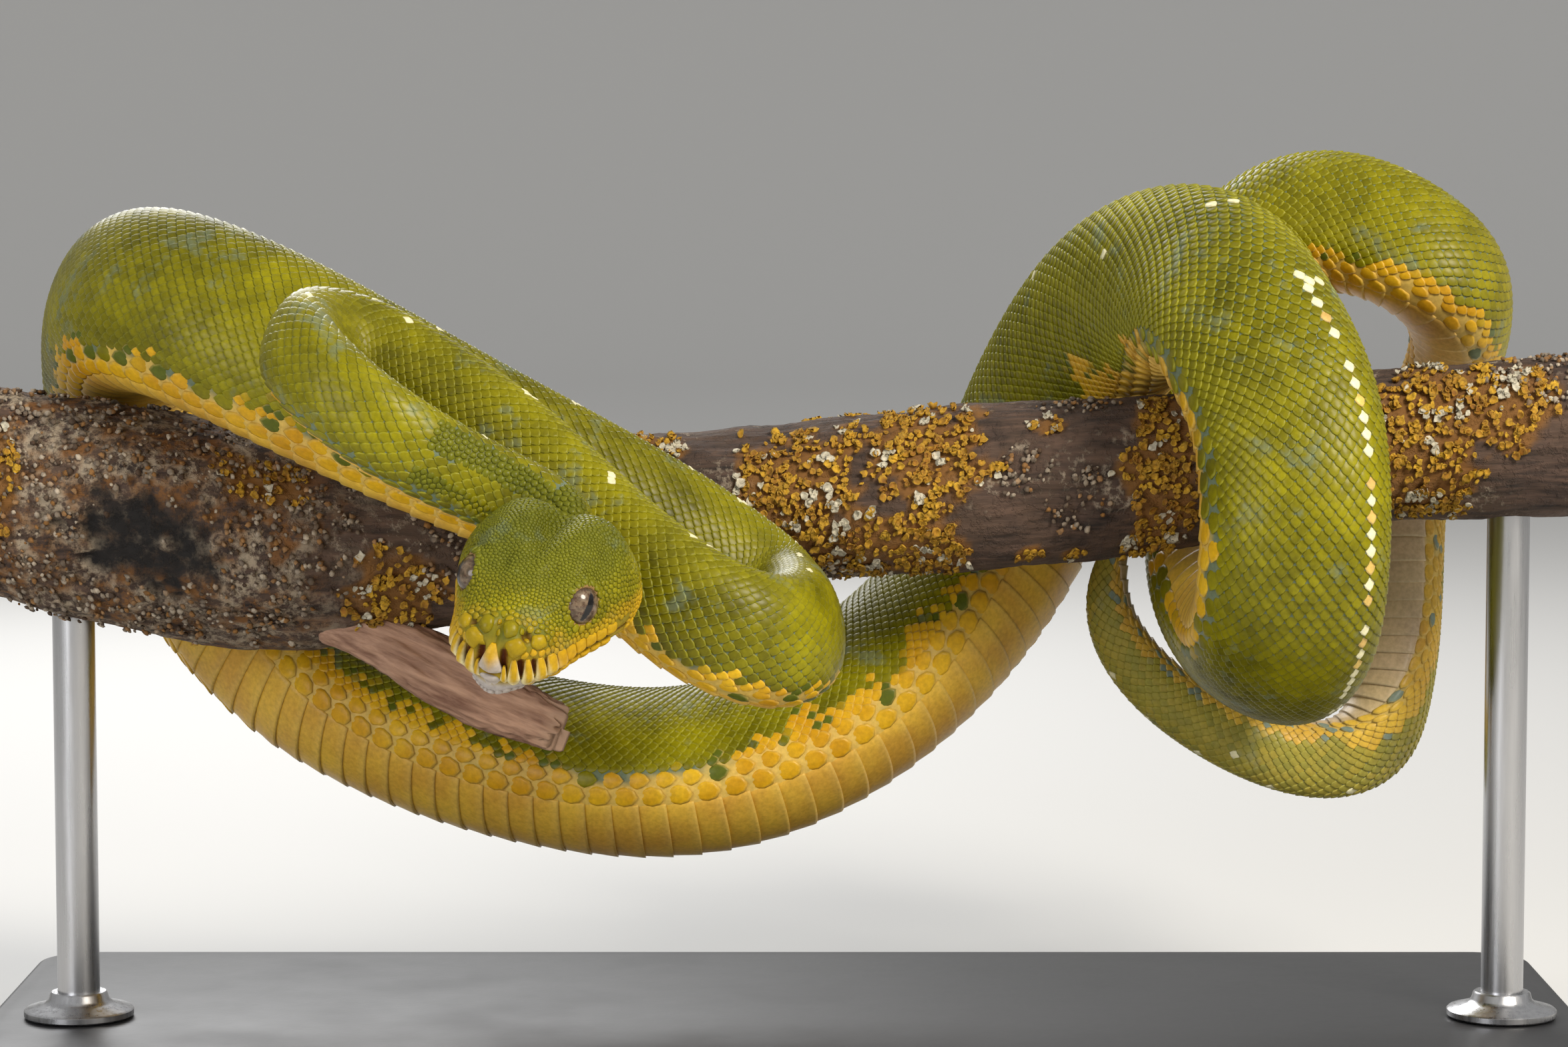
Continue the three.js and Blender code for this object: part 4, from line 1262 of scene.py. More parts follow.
def eye_globe(hand):
    deselect()
    bpy.ops.mesh.primitive_uv_sphere_add(segments=80, ring_count=56, radius=1)
    globe = bpy.context.object
    globe.name = globe.data.name = f"eye_globe_{hand}"
    flat = points_of(globe) * EYE_RADIUS
    place = EYE_AT + flat @ np.stack([EYE_ACROSS, EYE_UP, EYE_FACING])
    move_points(globe, to_world(place * HANDS[hand]) * MM)
    put(globe, "iris_across", flat[:, 0])
    put(globe, "iris_up", flat[:, 1])
    edit(globe, (bpy.ops.mesh.normals_make_consistent, {"inside": False}))
    bpy.ops.object.shade_smooth()
    stand_for(globe, "eye", f"eye_{hand}")
    return globe


globes = [eye_globe(hand) for hand in HANDS]
print("eyes:", [triangles(globe) for globe in globes], "triangles")

# %% [markdown]
# ## The branch
#
# The perch is a cut length of an old branch: grooved bark, a crust of grey lichen at its thick end and
# cushions of orange lichen, small crinkled cups crowded together. The bark is a bent grid pushed by
# noise that is drawn out lengthwise. The lichen is laid as the scales are, from one pattern cup that
# every copy crinkles in its own way, because thousands of copies need no separate modelling.

# %% Bark
BRANCH = [
    (-196, 140.5, 24.2), (-185, 137.3, 24.4), (-148, 131, 27), (-111, 125.8, 26), (-74, 127.7, 22.5),
    (-37, 132.3, 19.5), (0, 134.7, 18.5), (46, 138.4, 19), (92.5, 143.1, 18), (139, 148, 17.8),
    (185, 151, 19), (196, 151.8, 19.2),
]
LUMPS = [(3, 0.055, 0.035), (5, -0.09, 0.02), (2, 0.02, 0.03)]  # round, along, share of the radius
branch_line = natural_spline(BRANCH)
# The hollow is sunk into the bark, and the bark's finish paints it nearly black as shade inside it.
HOLLOW_AT, HOLLOW_SIZE = (-148, -1.75), (19, 0.55)  # dark hollow: along the branch, angle, and reach


def branch_surface(x, angle, lift=0.0):
    """Points on the branch: angle 0 is its top and -90 degrees its front."""
    line = branch_line(x)
    radius = line[..., 1]
    reach = radius + lift
    for number, rate, share in LUMPS:
        reach = reach + radius * share * np.sin(number * angle + rate * x)
    return np.stack([x, reach * np.sin(angle), line[..., 0] + reach * np.cos(angle)], -1)


def hollow(x, angle):
    """1 in the dark hollow of the thick end, 0 outside it."""
    off = ((x - HOLLOW_AT[0]) / HOLLOW_SIZE[0]) ** 2 + ((angle - HOLLOW_AT[1]) / HOLLOW_SIZE[1]) ** 2
    spread = np.stack([x, 26 * np.sin(angle), 26 * np.cos(angle)], -1)
    ragged = off + 0.9 * speckle(spread, 8, 3) + 0.7 * speckle(spread, 3, 5)
    return 1 / (1 + np.exp(6 * (ragged - 0.8)))


CAP = 0.012  # share of the grid that makes each sawn end
BRANCH_END = 195.6


def bark_form(u, v):
    x = BRANCH_END * (2 * ramp((u - CAP) / (1 - 2 * CAP)) - 1)
    inner = ramp(np.minimum(u, 1 - u) / CAP)
    angle = 2 * math.pi * v - math.pi
    round_place = 20 * np.stack([np.sin(angle), np.cos(angle), 0 * angle], -1)
    drawn = np.stack([x / 9, round_place[:, 0], round_place[:, 1]], -1)
    plain = np.stack([x, round_place[:, 0], round_place[:, 1]], -1)
    ridges = 0.55 * np.abs(speckle(drawn, 2.6)) + 0.3 * speckle(drawn, 1.2, 3)
    rise = 0.7 * speckle(plain, 12, 1) + ridges + 0.25 * speckle(plain, 2.2, 6) - 0.35
    rise = rise - (2.3 + 1.2 * speckle(plain, 3, 2)) * hollow(x, angle)
    centre = branch_surface(x, angle, -branch_line(x)[..., 1]) * [1, 0, 0] + np.stack(
        [0 * x, 0 * x, branch_line(x)[..., 0]], -1)
    surface = branch_surface(x, angle, rise * inner)
    return centre + (surface - centre) * inner[:, None]


bark = wrap_grid("bark", 300, 128, bark_form)
bpy.ops.object.shade_smooth()
place = points_of(bark) / MM
bark_angle = np.arctan2(place[:, 1], place[:, 2] - branch_line(place[:, 0])[:, 0])
stand_for(bark, "bark", "perch_branch")
print("bark:", triangles(bark), "triangles")

# %% Lichen: where it grows, and its cups
GRAIN = pattern(button(6, [BEVEL], math.pi / 2))  # a lump of crust, coarser than a scale
# Cushions of orange lichen: middle along the branch, angle in degrees, reach along and round.
ORANGE = [
    (4, -78, 20, 72), (32, -58, 17, 52), (25, -128, 20, 34), (88, -95, 10, 78), (148, -88, 14, 80),
    (167, -58, 14, 34), (61, -42, 4.5, 12), (57, -142, 4, 9), (68, -150, 4, 7), (-184, -70, 9, 30),
    (-90, -118, 13, 30), (-120, -55, 12, 14), (-30, -30, 9, 20), (20, 70, 26, 60), (120, 110, 22, 50),
    (-60, 100, 25, 55), (-150, 120, 22, 50),
]
# The same for grey crust.
GREY = [
    (-170, -60, 34, 55), (-125, -75, 30, 60), (-150, -130, 36, 40), (-110, 10, 30, 50), (56, -78, 6, 20),
    (68, -102, 7, 22), (182, -30, 16, 40), (-165, 60, 30, 70), (70, -20, 10, 15), (0, -150, 20, 20),
    (-70, -80, 20, 40),
]
CUP_TRIES, CRUST_TRIES = 16500, 19000
LICHEN_END = 194  # how far along the branch it may grow, either way


def grows(x, angle, patches, ragged):
    """How well a lichen grows at each place: above 0 inside its patches."""
    best = np.full(len(x), -9.0)
    for at, turn, along, around in patches:
        apart = (np.degrees(angle) - turn + 180) % 360 - 180
        best = np.maximum(best, 1 - ((x - at) / along) ** 2 - (apart / around) ** 2)
    spread = branch_surface(x, angle)
    return best + ragged * (speckle(spread, 7, 4) + 0.8 * speckle(spread, 3, 8))


def cups(template, tries, patches, ragged, smallest, largest, cup):
    """Points of cups scattered over the patches, and each cup's place along and round the branch."""
    x, angle = rng.uniform(-LICHEN_END, LICHEN_END, tries), rng.uniform(-math.pi, math.pi, tries)
    good = (grows(x, angle, patches, ragged) > 0.12) & (hollow(x, angle) < rng.uniform(0.1, 0.9, tries))
    x, angle = x[good], angle[good]
    flat, levels, _ = template
    count = len(x)
    size = rng.uniform(smallest, largest, count)
    turn = rng.uniform(0, 2 * math.pi, count)
    crinkle = 1 + 0.42 * rng.uniform(-1, 1, (count, len(flat)))
    crinkle = np.where(levels == RIM, crinkle, np.where(levels == UNDER, 0.5, 0.9))
    a = size[:, None] * crinkle * (flat[:, 0] * np.cos(turn)[:, None] - flat[:, 1] * np.sin(turn)[:, None])
    b = size[:, None] * crinkle * (flat[:, 0] * np.sin(turn)[:, None] + flat[:, 1] * np.cos(turn)[:, None])
    wavy = rng.uniform(0.2, 1.0, (count, len(flat)))
    tall = np.select([levels == UNDER, levels == RIM], [-0.7, cup * wavy], 0.45 * (1 - cup) + 0.25)
    lean = rng.uniform(-0.35, 0.35, (count, 2))
    lift = size[:, None] * tall + a * lean[:, :1] + b * lean[:, 1:] + 0.35
    radius = branch_line(x)[:, 1]
    return branch_surface(x[:, None] + a, angle[:, None] + b / radius[:, None], lift), x, angle


put(bark, "sawn", np.abs(place[:, 0]) > BRANCH_END - 0.05)
put(bark, "reach", np.hypot(place[:, 1], place[:, 2] - branch_line(place[:, 0])[:, 0]))
put(bark, "hollow", hollow(place[:, 0], bark_angle))
put(bark, "crust", ramp((-95 - place[:, 0]) / 25 + 0.5 * speckle(place, 9)))
put(bark, "rust", ramp(3 * grows(place[:, 0], bark_angle, ORANGE, 0.7) - 0.2))
orange_points, x, angle = cups(SCALE, CUP_TRIES, ORANGE, ragged=0.7, smallest=0.45, largest=1.1, cup=1)
white = (speckle(branch_surface(x, angle), 5, 12) + rng.uniform(-0.2, 0.2, len(x)) > 0.3).astype(float)
crust_points, _, _ = cups(GRAIN, CRUST_TRIES, GREY, ragged=1, smallest=0.3, largest=0.85, cup=0.1)
crust_white = rng.uniform(0, 1, len(crust_points)) ** 1.5
LICHENS = [("lichen_cups", SCALE, orange_points, white), ("lichen_crust", GRAIN, crust_points, crust_white)]
for grey_kind, (name, template, places, whiteness) in enumerate(LICHENS):
    numbers = {"white": whiteness, "grey_kind": np.full(len(places), grey_kind),
               "seed": rng.uniform(-1, 1, len(places))}
    lay(name, template, places, np.zeros((len(places), 2)), numbers, template[1] == RIM, "bark")

# %% [markdown]
# ## The torn shard
#
# A splinter of torn wood lies under the head, its end ragged where the fibres broke. A bevelled block
# would look sawn. A grid bent to a squarish tube can follow the fibres instead, its sides and its end
# pushed by noise that is drawn out lengthwise.

# %% The torn shard
SHARD = [
    (0, -108, -10, 106, 6, 6), (1, -92, -13, 103, 13, 8), (2, -76, -15, 94, 15, 7),
    (3, -63, -16, 88, 13, 6), (4, -53, -17, 84, 11, 3),
]
shard_line = natural_spline(SHARD)


def shard_form(u, v):
    at = 4 * ramp(u * 1.04 - 0.02)
    closed = ramp(np.minimum(u, 1 - u) / 0.02)
    row = shard_line(at)
    run = unit(shard_line(at + 0.1)[:, :3] - shard_line(at - 0.1)[:, :3])
    across = unit(np.cross([0, -1, 0], run))
    through = np.cross(run, across)
    angle = 2 * math.pi * v
    square = (np.abs(np.cos(angle)) ** 3 + np.abs(np.sin(angle)) ** 3) ** (-1 / 3)
    fibres = np.stack([at * 2.2, 6 * np.cos(angle), 6 * np.sin(angle)], -1)
    rough = 1 + 0.12 * speckle(fibres, 1.1, 2) + 0.09 * speckle(fibres, 0.45, 7)
    wide = row[:, 3] / 2 * np.cos(angle) * square * rough
    thick = row[:, 4] / 2 * np.sin(angle) * square * rough
    jag = 5.5 * speckle(np.stack([6 * np.cos(angle), 6 * np.sin(angle), 0 * at], -1), 1.3, 5)
    torn = 1 / (1 + np.exp(14 * (at - 1.4 - 0.5 * speckle(fibres * [0.2, 1, 1], 1.5, 9))))
    outer = ramp(-(through[:, 1] * np.sin(angle))) ** 0.5
    middle = row[:, :3] + run * (jag * ramp(at - 3))[:, None]
    middle = middle + np.outer(outer * torn * closed, [0, -1.3, 0.2])
    return middle + (across * wide[:, None] + through * thick[:, None]) * closed[:, None]


shard = wrap_grid("shard", 110, 90, shard_form)
bpy.ops.object.shade_smooth()
put(shard, "torn_end", take(shard, "across"))
stand_for(shard, "bark", "perch_shard")
print("shard:", triangles(shard), "triangles")

# %% [markdown]
# ## The display stand
#
# A museum would set the branch on a plain block with two rods, nothing that draws the eye. The block is
# a cube with its corners and then its edges bevelled; rods are cylinders and their feet are turned.

# %% Stand
def lathe(name, outline, sides=64):
    """A round piece turned about Z from rows of (radius, height), in mm, its first and last at 0."""
    outline = np.array(outline, float)
    steps = np.linspace(0, 1, len(outline))

    def turned(u, v):
        radius, height = np.interp(v, steps, outline[:, 0]), np.interp(v, steps, outline[:, 1])
        return np.stack([radius * np.cos(2 * math.pi * u), radius * np.sin(2 * math.pi * u), height], -1)
    return wrap_grid(name, sides, len(outline) - 1, turned)


def finish_stand(piece, node, slot):
    pick(piece)
    bpy.ops.object.shade_smooth_by_angle(angle=math.radians(30))
    stand_for(piece, slot, node)


BLOCK_CORNER, BLOCK_EDGE = 0.014, 0.0015
base_low, base_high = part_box("stand_base")
deselect()
bpy.ops.mesh.primitive_cube_add(size=1)
base = bpy.context.object
base.name = base.data.name = "stand_block"
size = np.array(base_high) - np.array(base_low)
move_points(base, points_of(base) * size + (np.array(base_high) + np.array(base_low)) / 2)
upright = [abs((base.data.vertices[a].co - base.data.vertices[b].co).z) > 0.005
           for a, b in (edge.vertices for edge in base.data.edges)]
pick(base)
bpy.ops.object.mode_set(mode="EDIT")
bpy.ops.mesh.select_mode(type="EDGE")
bpy.ops.mesh.select_all(action="DESELECT")
bpy.ops.object.mode_set(mode="OBJECT")
base.data.edges.foreach_set("select", upright)
bpy.ops.object.mode_set(mode="EDIT")
bpy.ops.mesh.bevel(offset=BLOCK_CORNER, segments=14)
bpy.ops.object.mode_set(mode="OBJECT")
apply_modifier(base, "BEVEL", width=BLOCK_EDGE, segments=4, limit_method="ANGLE")
finish_stand(base, "stand_base", "stand_paint")
FOOT = [(0, 0), (12.6, 0), (13, 0.4), (13, 1.6), (12.6, 2), (8.2, 3.2), (7.2, 4.2), (6.8, 5.6), (6.4, 6),
        (0, 6)]
POST_SUNK = 4  # how far a post goes on into the bark
for hand in HANDS:
    low, high = [np.array(corner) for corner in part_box(f"stand_rod_{hand}")]
    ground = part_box(f"stand_foot_{hand}")[0][2]
    middle = (low + high) / 2
    radius, start, end = (high - low)[0] / 2 / MM, ground / MM, high[2] / MM + POST_SUNK
    rod = lathe(f"stand_post_{hand}", [(0, start), (radius, start), (radius, end), (0, end)])
    foot = lathe(f"stand_shoe_{hand}", FOOT)
    move_points(rod, points_of(rod) + [middle[0], middle[1], 0])
    move_points(foot, points_of(foot) + [middle[0], middle[1], ground])
    finish_stand(rod, f"stand_rod_{hand}", "stand_metal")
    finish_stand(foot, f"stand_foot_{hand}", "stand_metal")
print("stand made")

# %% [markdown]
# ## Finishes
#
# The skin and every scale share one group of nodes, which reads the numbers laid down above and
# gives out colour, roughness and height. Bark, torn wood and steel share another, for grain that is
# drawn out in one direction. The shader itself stays in the material.

# %% Node helpers
def add(tree, kind, inputs=None, **settings):
    """A new node; inputs maps its sockets to values or to other nodes' outputs."""
    made = tree.nodes.new(kind)
    for key, value in settings.items():
        setattr(made, key, value)
    for key, value in (inputs or {}).items():
        if isinstance(value, bpy.types.NodeSocket):
            tree.links.new(value, made.inputs[key])
        else:
            made.inputs[key].default_value = value
    return made


def mix(tree, factor, first, second, blend="MIX"):
    inputs = {0: factor, 6: first, 7: second}
    return add(tree, "ShaderNodeMix", inputs, data_type="RGBA", blend_type=blend).outputs[2]


def math_node(tree, operation, *values):
    """Two or more values taken together by one operation, from the left."""
    result = values[0]
    for value in values[1:]:
        result = add(tree, "ShaderNodeMath", {0: result, 1: value}, operation=operation).outputs[0]
    return result


def times(tree, *values):
    return math_node(tree, "MULTIPLY", *values)


def plus(tree, *values):
    return math_node(tree, "ADD", *values)


def noise_at(tree, vector, scale, detail=2.0, roughness=0.5):
    inputs = {"Vector": vector, "Scale": scale, "Detail": detail, "Roughness": roughness}
    return add(tree, "ShaderNodeTexNoise", inputs).outputs["Fac"]


def between(tree, value, low, high, out_low=0.0, out_high=1.0):
    """The value's way from low to high, held inside it, as a number from out_low to out_high."""
    inputs = {"Value": value, "From Min": low, "From Max": high, "To Min": out_low, "To Max": out_high}
    return add(tree, "ShaderNodeMapRange", inputs, clamp=True).outputs["Result"]


def attribute(tree, name):
    return add(tree, "ShaderNodeAttribute", attribute_name=name).outputs["Fac"]


def object_place(tree):
    return add(tree, "ShaderNodeTexCoord").outputs["Object"]


def mapped(tree, vector, **inputs):
    """The vector turned or stretched, by values or by other nodes' outputs."""
    return add(tree, "ShaderNodeMapping", {"Vector": vector} | inputs).outputs["Vector"]


def new_group(name, inputs, outputs):
    """A node group with named sockets, and the sockets that bring its inputs in."""
    group = bpy.data.node_groups.new(name, "ShaderNodeTree")
    for label, (kind, value) in inputs.items():
        socket = group.interface.new_socket(label, in_out="INPUT", socket_type="NodeSocket" + kind)
        socket.default_value = value
    for label, kind in outputs.items():
        group.interface.new_socket(label, in_out="OUTPUT", socket_type="NodeSocket" + kind)
    return group, add(group, "NodeGroupInput").outputs


def use_group(tree, group, **inputs):
    return add(tree, "ShaderNodeGroup", inputs, node_tree=group).outputs


def new_material(name, **shader):
    """A material and its nodes; the shader's named sockets take numbers or colours."""
    material = bpy.data.materials.new(name)
    material.use_nodes = True
    tree = material.node_tree
    for key, value in shader.items():
        tree.nodes["Principled BSDF"].inputs[key.replace("_", " ")].default_value = value
    return material, tree


def dress(material, colour, roughness=None, bump=None):
    """Links nodes to the material's shader; bump is (strength, distance, height)."""
    tree = material.node_tree
    links = {"Base Color": colour}
    if roughness:
        links["Roughness"] = roughness
    if bump:
        inputs = dict(zip(("Strength", "Distance", "Height"), bump))
        links["Normal"] = add(tree, "ShaderNodeBump", inputs).outputs["Normal"]
    for socket, value in links.items():
        tree.links.new(value, tree.nodes["Principled BSDF"].inputs[socket])
    return material


def wear(piece, material):
    piece.data.materials.clear()
    piece.data.materials.append(material)


# %% The snake's colours
DEEP_GREEN, LIGHT_GREEN = (0.088, 0.08, 0.0008, 1), (0.285, 0.25, 0.002, 1)
SUN_YELLOW, DEEP_YELLOW = (0.76, 0.46, 0.014, 1), (0.58, 0.29, 0.006, 1)
# The dark blotch colour also paints shade on the head's skin between its scales.
PALE_SPOT, DARK_BLOTCH_AND_SHADE = (0.86, 0.8, 0.5, 1), (0.1, 0.12, 0.008, 1)
# The rim tone is partly the scales' own pale edges and partly a painted highlight.
RIM_TONE_AND_HIGHLIGHT, BLUE_GREY = (0.36, 0.35, 0.035, 1), (0.14, 0.2, 0.165, 1)
CREAM_SKIN, CHIN_GREY = (0.66, 0.47, 0.13, 1), (0.45, 0.41, 0.4, 1)
# The pits' red-brown is partly their own colour and partly painted shade, which also darkens the mouth's
# crease and the nostrils.
PIT_RED_AND_SHADE, LID_TAN = (0.11, 0.03, 0.008, 1), (0.32, 0.19, 0.07, 1)


def snake_group():
    group, given = new_group(
        "Snake colours", {"Flecks": ("Float", 0.75), "Rims": ("Float", 0.5), "Mottle": ("Float", 0.25)},
        {"Color": "Color", "Roughness": "Float", "Height": "Float"})
    place = object_place(group)
    broad, near = noise_at(group, place, 26, 2), noise_at(group, place, 110, 3)
    tone = between(group, plus(group, broad, times(group, near, 0.8)), 0.52, 1.22)
    tone = plus(group, tone, times(group, attribute(group, "seed"), 0.16))
    green = mix(group, tone, DEEP_GREEN, LIGHT_GREEN)
    yellow_tone = between(group, noise_at(group, place, 60, 3), 0.35, 0.7)
    yellow = mix(group, yellow_tone, DEEP_YELLOW, SUN_YELLOW)
    flesh = mix(group, attribute(group, "yellow"), green, yellow)
    # Dark blotches, and painted shade on the head's skin between its scales.
    flesh = mix(group, attribute(group, "blotch_and_shade"), flesh, DARK_BLOTCH_AND_SHADE)
    flesh = mix(group, attribute(group, "blue"), flesh, BLUE_GREY)
    flecks = between(group, noise_at(group, place, 75, 4, 0.7), 0.58, 0.66, 0, given["Flecks"])
    for cover in ("pale", "yellow"):
        flecks = times(group, flecks, math_node(group, "SUBTRACT", 1, attribute(group, cover)))
    flecks = times(group, flecks, attribute(group, "fleck"))
    bare = mix(group, attribute(group, "yellow"), BLUE_GREY, CREAM_SKIN)
    flesh = mix(group, flecks, flesh, BLUE_GREY)
    # Paler rims: partly the scales' own edges, partly a painted highlight.
    rim = times(group, attribute(group, "rim"), given["Rims"])
    flesh = mix(group, rim, flesh, mix(group, attribute(group, "yellow"), RIM_TONE_AND_HIGHLIGHT, CREAM_SKIN))
    # Over it go pale spots, bare skin, grey, tan eye rims, and the pits' red with painted shade in pits,
    # mouth crease and nostrils.
    over = {"pale": PALE_SPOT, "bare": bare, "grey": CHIN_GREY, "tan": LID_TAN, "pit_red_and_shade": PIT_RED_AND_SHADE}
    for number, tone in over.items():
        flesh = mix(group, attribute(group, number), flesh, tone)
    mottle = noise_at(group, place, 900, 3, 0.6)
    mottling = between(group, mottle, 0.35, 0.7, 0, given["Mottle"])
    flesh = mix(group, mottling, flesh, DEEP_GREEN, "MULTIPLY")
    rough = between(group, noise_at(group, place, 240, 3), 0.3, 0.7, 0.34, 0.48)
    add(group, "NodeGroupOutput", {"Color": flesh, "Roughness": rough, "Height": mottle})
    return group


SNAKE = snake_group()


def snake_material(name, rims, **shader):
    """A finish of the snake, with its own strength for the paler rear edges of its scales, partly their own
    pale edges and partly a painted highlight.
    """
    material, tree = new_material(name, **shader)
    made = use_group(tree, SNAKE, Flecks=0.75, Rims=rims, Mottle=0.25)
    return dress(material, made["Color"], made["Roughness"], (0.25, 0.00012, made["Height"]))


SCALE_FINISH = snake_material("Snake_scales", 0.5, Coat_Weight=0.08, Coat_Roughness=0.2,
                              Specular_IOR_Level=0.15)
SKIN_FINISH = snake_material("Snake_skin", 0, Specular_IOR_Level=0.12)
for piece in [o for o in bpy.data.objects if o.name.startswith("scales_")]:
    wear(piece, SCALE_FINISH)
wear(skin, SKIN_FINISH)

# %% [markdown]
# The other finishes are a few layers of noise each, at the size of the real marks: streaks and crust on
# bark, bright rims on lichen, fibres on torn wood, fine grain on paint and steel. Painted images would
# be tied to one unwrap, and noise on Object coordinates fits any shape. The eye's slit comes from the two
# numbers on its mesh.

# %% Eye, bark, lichen, wood and stand
def colour_noise(tree, vector, scale, dark, light, low=0.35, high=0.65, detail=3.0):
    return mix(tree, between(tree, noise_at(tree, vector, scale, detail), low, high), dark, light)


def grain_group():
    """Noise drawn out in one direction: the grain of bark, torn wood and brushed steel."""
    group, given = new_group(
        "Drawn grain", {"Turn": ("Vector", (0, 0, 0)), "Stretch": ("Vector", (60, 480, 480)),
                        "Detail": ("Float", 6), "Roughness": ("Float", 0.6)}, {"Grain": "Float"})
    turned = mapped(group, object_place(group), Rotation=given["Turn"])
    drawn = mapped(group, turned, Scale=given["Stretch"])
    add(group, "NodeGroupOutput", {"Grain": noise_at(group, drawn, 1, given["Detail"], given["Roughness"])})
    return group


DRAWN = grain_group()


def eye_material():
    material, tree = new_material("Eye", Roughness=0.3, Specular_IOR_Level=0.2, Coat_Weight=0.55,
                                  Coat_Roughness=0.03)
    place = object_place(tree)
    across, up = attribute(tree, "iris_across"), attribute(tree, "iris_up")
    veins = between(tree, noise_at(tree, place, 1100, 4, 0.65), 0.52, 0.6)
    iris = colour_noise(tree, place, 700, (0.06, 0.04, 0.022, 1), (0.21, 0.145, 0.09, 1))
    iris = mix(tree, veins, iris, (0.07, 0.035, 0.02, 1))
    squares = [math_node(tree, "POWER", math_node(tree, "DIVIDE", value, size), 2.0)
               for value, size in ((across, PUPIL_WIDE), (up, PUPIL_TALL))]
    wobble = between(tree, noise_at(tree, place, 1500), 0.3, 0.7, -0.25, 0.25)
    pupil = between(tree, plus(tree, *squares, wobble), 1.25, 0.85)
    rim = plus(tree, times(tree, across, across), times(tree, up, up))
    iris = mix(tree, between(tree, rim, 10.5, 14.5), iris, (0.05, 0.03, 0.02, 1))
    return dress(material, mix(tree, pupil, iris, (0.004, 0.003, 0.003, 1)))


def bark_material():
    material, tree = new_material("Bark", Roughness=0.85)
    place = object_place(tree)
    fine = use_group(tree, DRAWN, Stretch=(70, 620, 620), Roughness=0.62)["Grain"]
    tone = between(tree, fine, 0.34, 0.68)
    wood = mix(tree, tone, (0.011, 0.006, 0.004, 1), (0.105, 0.06, 0.04, 1))
    broad = between(tree, noise_at(tree, place, 60, 3), 0.4, 0.62, 0, 0.5)
    wood = mix(tree, broad, wood, (0.09, 0.052, 0.03, 1))
    grains = between(tree, noise_at(tree, place, 420, 4, 0.7), 0.5, 0.62)
    pale = between(tree, noise_at(tree, place, 48, 4, 0.7), 0.53, 0.62, 0, 0.75)
    wood = mix(tree, times(tree, pale, grains), wood, (0.36, 0.29, 0.21, 1))
    lumps = between(tree, noise_at(tree, place, 300, 5, 0.75), 0.44, 0.56)
    crust = times(tree, attribute(tree, "crust"), lumps)
    crust_tone = colour_noise(tree, place, 130, (0.2, 0.08, 0.014, 1), (0.4, 0.32, 0.22, 1), 0.42, 0.58)
    wood = mix(tree, times(tree, crust, 0.8), wood, crust_tone)
    wood = mix(tree, times(tree, attribute(tree, "rust"), 0.85), wood, (0.2, 0.085, 0.012, 1))
    # Painted shade: the hollow is darkened nearly to black, and so are a few spots where the noise runs
    # high.
    hollow_shade_and_dark_spots = plus(tree, attribute(tree, "hollow"), noise_at(tree, place, 170, 5, 0.8))
    wood = mix(tree, between(tree, hollow_shade_and_dark_spots, 0.75, 1.5), wood, (0.006, 0.004, 0.003, 1))
    wavy = plus(tree, attribute(tree, "reach"), times(tree, noise_at(tree, place, 70), 5))
    rings = add(tree, "ShaderNodeMath", {0: times(tree, wavy, 3.4)}, operation="SINE").outputs[0]
    rings = between(tree, rings, -1.0, 1.0)
    end_grain = mix(tree, rings, (0.33, 0.2, 0.1, 1), (0.5, 0.34, 0.19, 1))
    wood = mix(tree, attribute(tree, "sawn"), wood, end_grain)
    return dress(material, wood, bump=(0.7, 0.0007, plus(tree, fine, times(tree, grains, 0.6))))


def lichen_material():
    material, tree = new_material("Lichen", Roughness=0.8)
    place = object_place(tree)
    orange = colour_noise(tree, place, 160, (0.3, 0.12, 0.004, 1), (0.6, 0.34, 0.014, 1))
    rim_bright = times(tree, attribute(tree, "rim"), 0.4)
    orange = mix(tree, rim_bright, orange, (0.7, 0.42, 0.035, 1))
    orange = mix(tree, attribute(tree, "white"), orange, (0.62, 0.56, 0.42, 1))
    grey = mix(tree, attribute(tree, "white"), (0.07, 0.035, 0.015, 1), (0.52, 0.43, 0.32, 1))
    grey = mix(tree, between(tree, attribute(tree, "seed"), 0.3, 0.6, 0, 0.8), grey, (0.3, 0.13, 0.02, 1))
    colour = mix(tree, attribute(tree, "grey_kind"), orange, grey)
    speck = between(tree, noise_at(tree, place, 900, 3), 0.35, 0.65, 0.55, 1.0)
    speck = add(tree, "ShaderNodeCombineColor", {0: speck, 1: speck, 2: speck}).outputs[0]
    colour = mix(tree, 1.0, colour, speck, "MULTIPLY")
    return dress(material, colour, bump=(0.6, 0.0003, noise_at(tree, place, 1300, 4)))


def torn_wood_material():
    material, tree = new_material("Torn_wood", Roughness=0.72)
    fibre = use_group(tree, DRAWN, Turn=(0, math.radians(-24), 0), Stretch=(60, 480, 480))["Grain"]
    wood = mix(tree, between(tree, fibre, 0.32, 0.7), (0.15, 0.065, 0.036, 1), (0.5, 0.3, 0.195, 1))
    end = between(tree, attribute(tree, "torn_end"), 0.9, 0.99, 0, 0.7)
    return dress(material, mix(tree, end, wood, (0.48, 0.31, 0.2, 1)), bump=(0.6, 0.0005, fibre))


def paint_material():
    material, tree = new_material("Stand_paint", Coat_Weight=0.15, Coat_Roughness=0.3)
    place = object_place(tree)
    tone = noise_at(tree, place, 35, 4)
    paint = mix(tree, tone, (0.012, 0.012, 0.013, 1), (0.022, 0.022, 0.024, 1))
    roughness = between(tree, tone, 0.3, 0.7, 0.42, 0.56)
    return dress(material, paint, roughness, (0.15, 0.0002, noise_at(tree, place, 700, 3)))


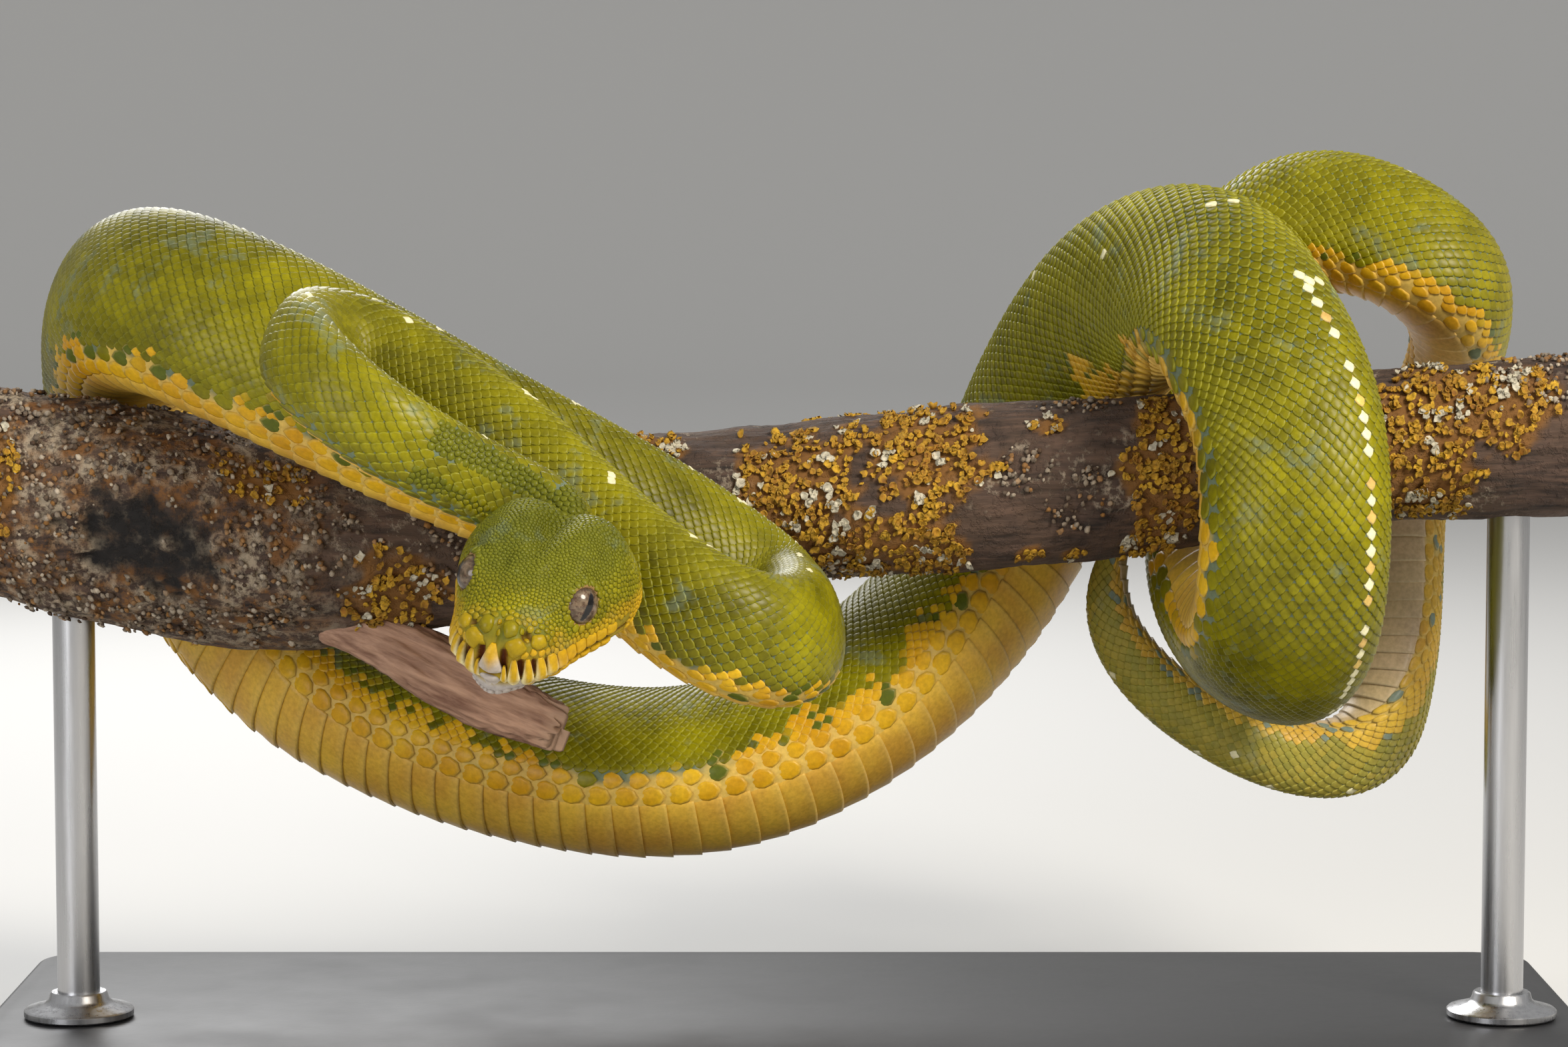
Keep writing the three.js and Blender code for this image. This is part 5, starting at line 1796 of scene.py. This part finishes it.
def steel_material():
    material, tree = new_material("Stand_steel", Metallic=1.0)
    brushed = use_group(tree, DRAWN, Stretch=(900, 900, 40), Detail=3, Roughness=0.5)["Grain"]
    steel = mix(tree, brushed, (0.42, 0.42, 0.43, 1), (0.6, 0.6, 0.61, 1))
    return dress(material, steel, between(tree, brushed, 0.3, 0.7, 0.24, 0.36))


EYE_FINISH, STEEL = eye_material(), steel_material()
for globe in globes:
    wear(globe, EYE_FINISH)
wear(bark, bark_material())
LICHEN = lichen_material()
for name in ("lichen_cups", "lichen_crust"):
    wear(bpy.data.objects[name], LICHEN)
wear(shard, torn_wood_material())
wear(base, paint_material())
for piece in [o for o in bpy.data.objects if o.name.startswith(("stand_post", "stand_shoe"))]:
    wear(piece, STEEL)

# %% [markdown]
# ## Floor, light and camera
#
# Small museum models are shown on a pale sweep with one large soft lamp, a weaker one to open the
# shadows and one from behind to draw the edges. The floor curves up all round, so that every side
# can be looked at.

# %% Pale room
def studio_floor():
    """A wide pale floor that curves up all round."""
    bend_from, bend = 3.0, 1.2

    def dish(u, v):
        reach = (bend_from + bend) * u
        turn = ramp(reach - bend_from, bend) * math.pi / 2
        radius = np.minimum(reach, bend_from) + bend * np.sin(turn) * (reach > bend_from)
        height = bend * (1 - np.cos(turn))
        angle = 2 * math.pi * v
        return np.stack([radius * np.cos(angle), radius * np.sin(angle), height], -1) / MM

    floor = wrap_grid("studio_floor", 80, 96, dish)
    bpy.ops.object.shade_smooth()
    edit(floor, (bpy.ops.mesh.flip_normals, {}))
    wear(floor, new_material("Studio_floor", Base_Color=(0.68, 0.675, 0.66, 1), Roughness=0.7)[0])


studio_floor()
CAMERA_AIM, CAMERA_AWAY, CAMERA_RISE = np.array([0, 0, 0.13]), 1.028, math.radians(5)


def area_light(name, place, aim, size, power, colour=(1, 1, 1)):
    deselect()
    bpy.ops.object.light_add(type="AREA", location=place)
    lamp = bpy.context.object
    lamp.name = name
    lamp.data.shape, lamp.data.size, lamp.data.energy, lamp.data.color = "DISK", size, power, colour
    lamp.rotation_euler = (Vector(aim) - Vector(place)).to_track_quat("-Z", "Y").to_euler()
    lamp.visible_camera = False


area_light("key_light", (0.6, -0.75, 0.8), (0, 0, 0.13), size=0.45, power=14, colour=(1, 0.94, 0.84))
area_light("fill_light", (-0.75, -1, 0.4), (0, 0, 0.1), size=0.6, power=5, colour=(0.96, 0.97, 1))
area_light("back_light", (-0.3, 0.95, 0.75), (0, 0, 0.15), size=0.7, power=8)
world = bpy.data.worlds.new("Studio_air")
world.use_nodes = True
sky = world.node_tree.nodes["Background"]
sky.inputs["Color"].default_value = (0.95, 0.95, 0.95, 1)
sky.inputs["Strength"].default_value = 0.47
bpy.context.scene.world = world

deselect()
away = Vector((0, -math.cos(CAMERA_RISE), math.sin(CAMERA_RISE))) * CAMERA_AWAY
bpy.ops.object.camera_add(location=Vector(CAMERA_AIM) + away)
camera = bpy.context.object
camera.rotation_euler = (-away).to_track_quat("-Z", "Y").to_euler()
camera.data.lens, camera.data.sensor_width = 100, 36
bpy.context.scene.camera = camera
bpy.context.scene.view_settings.view_transform = "Standard"
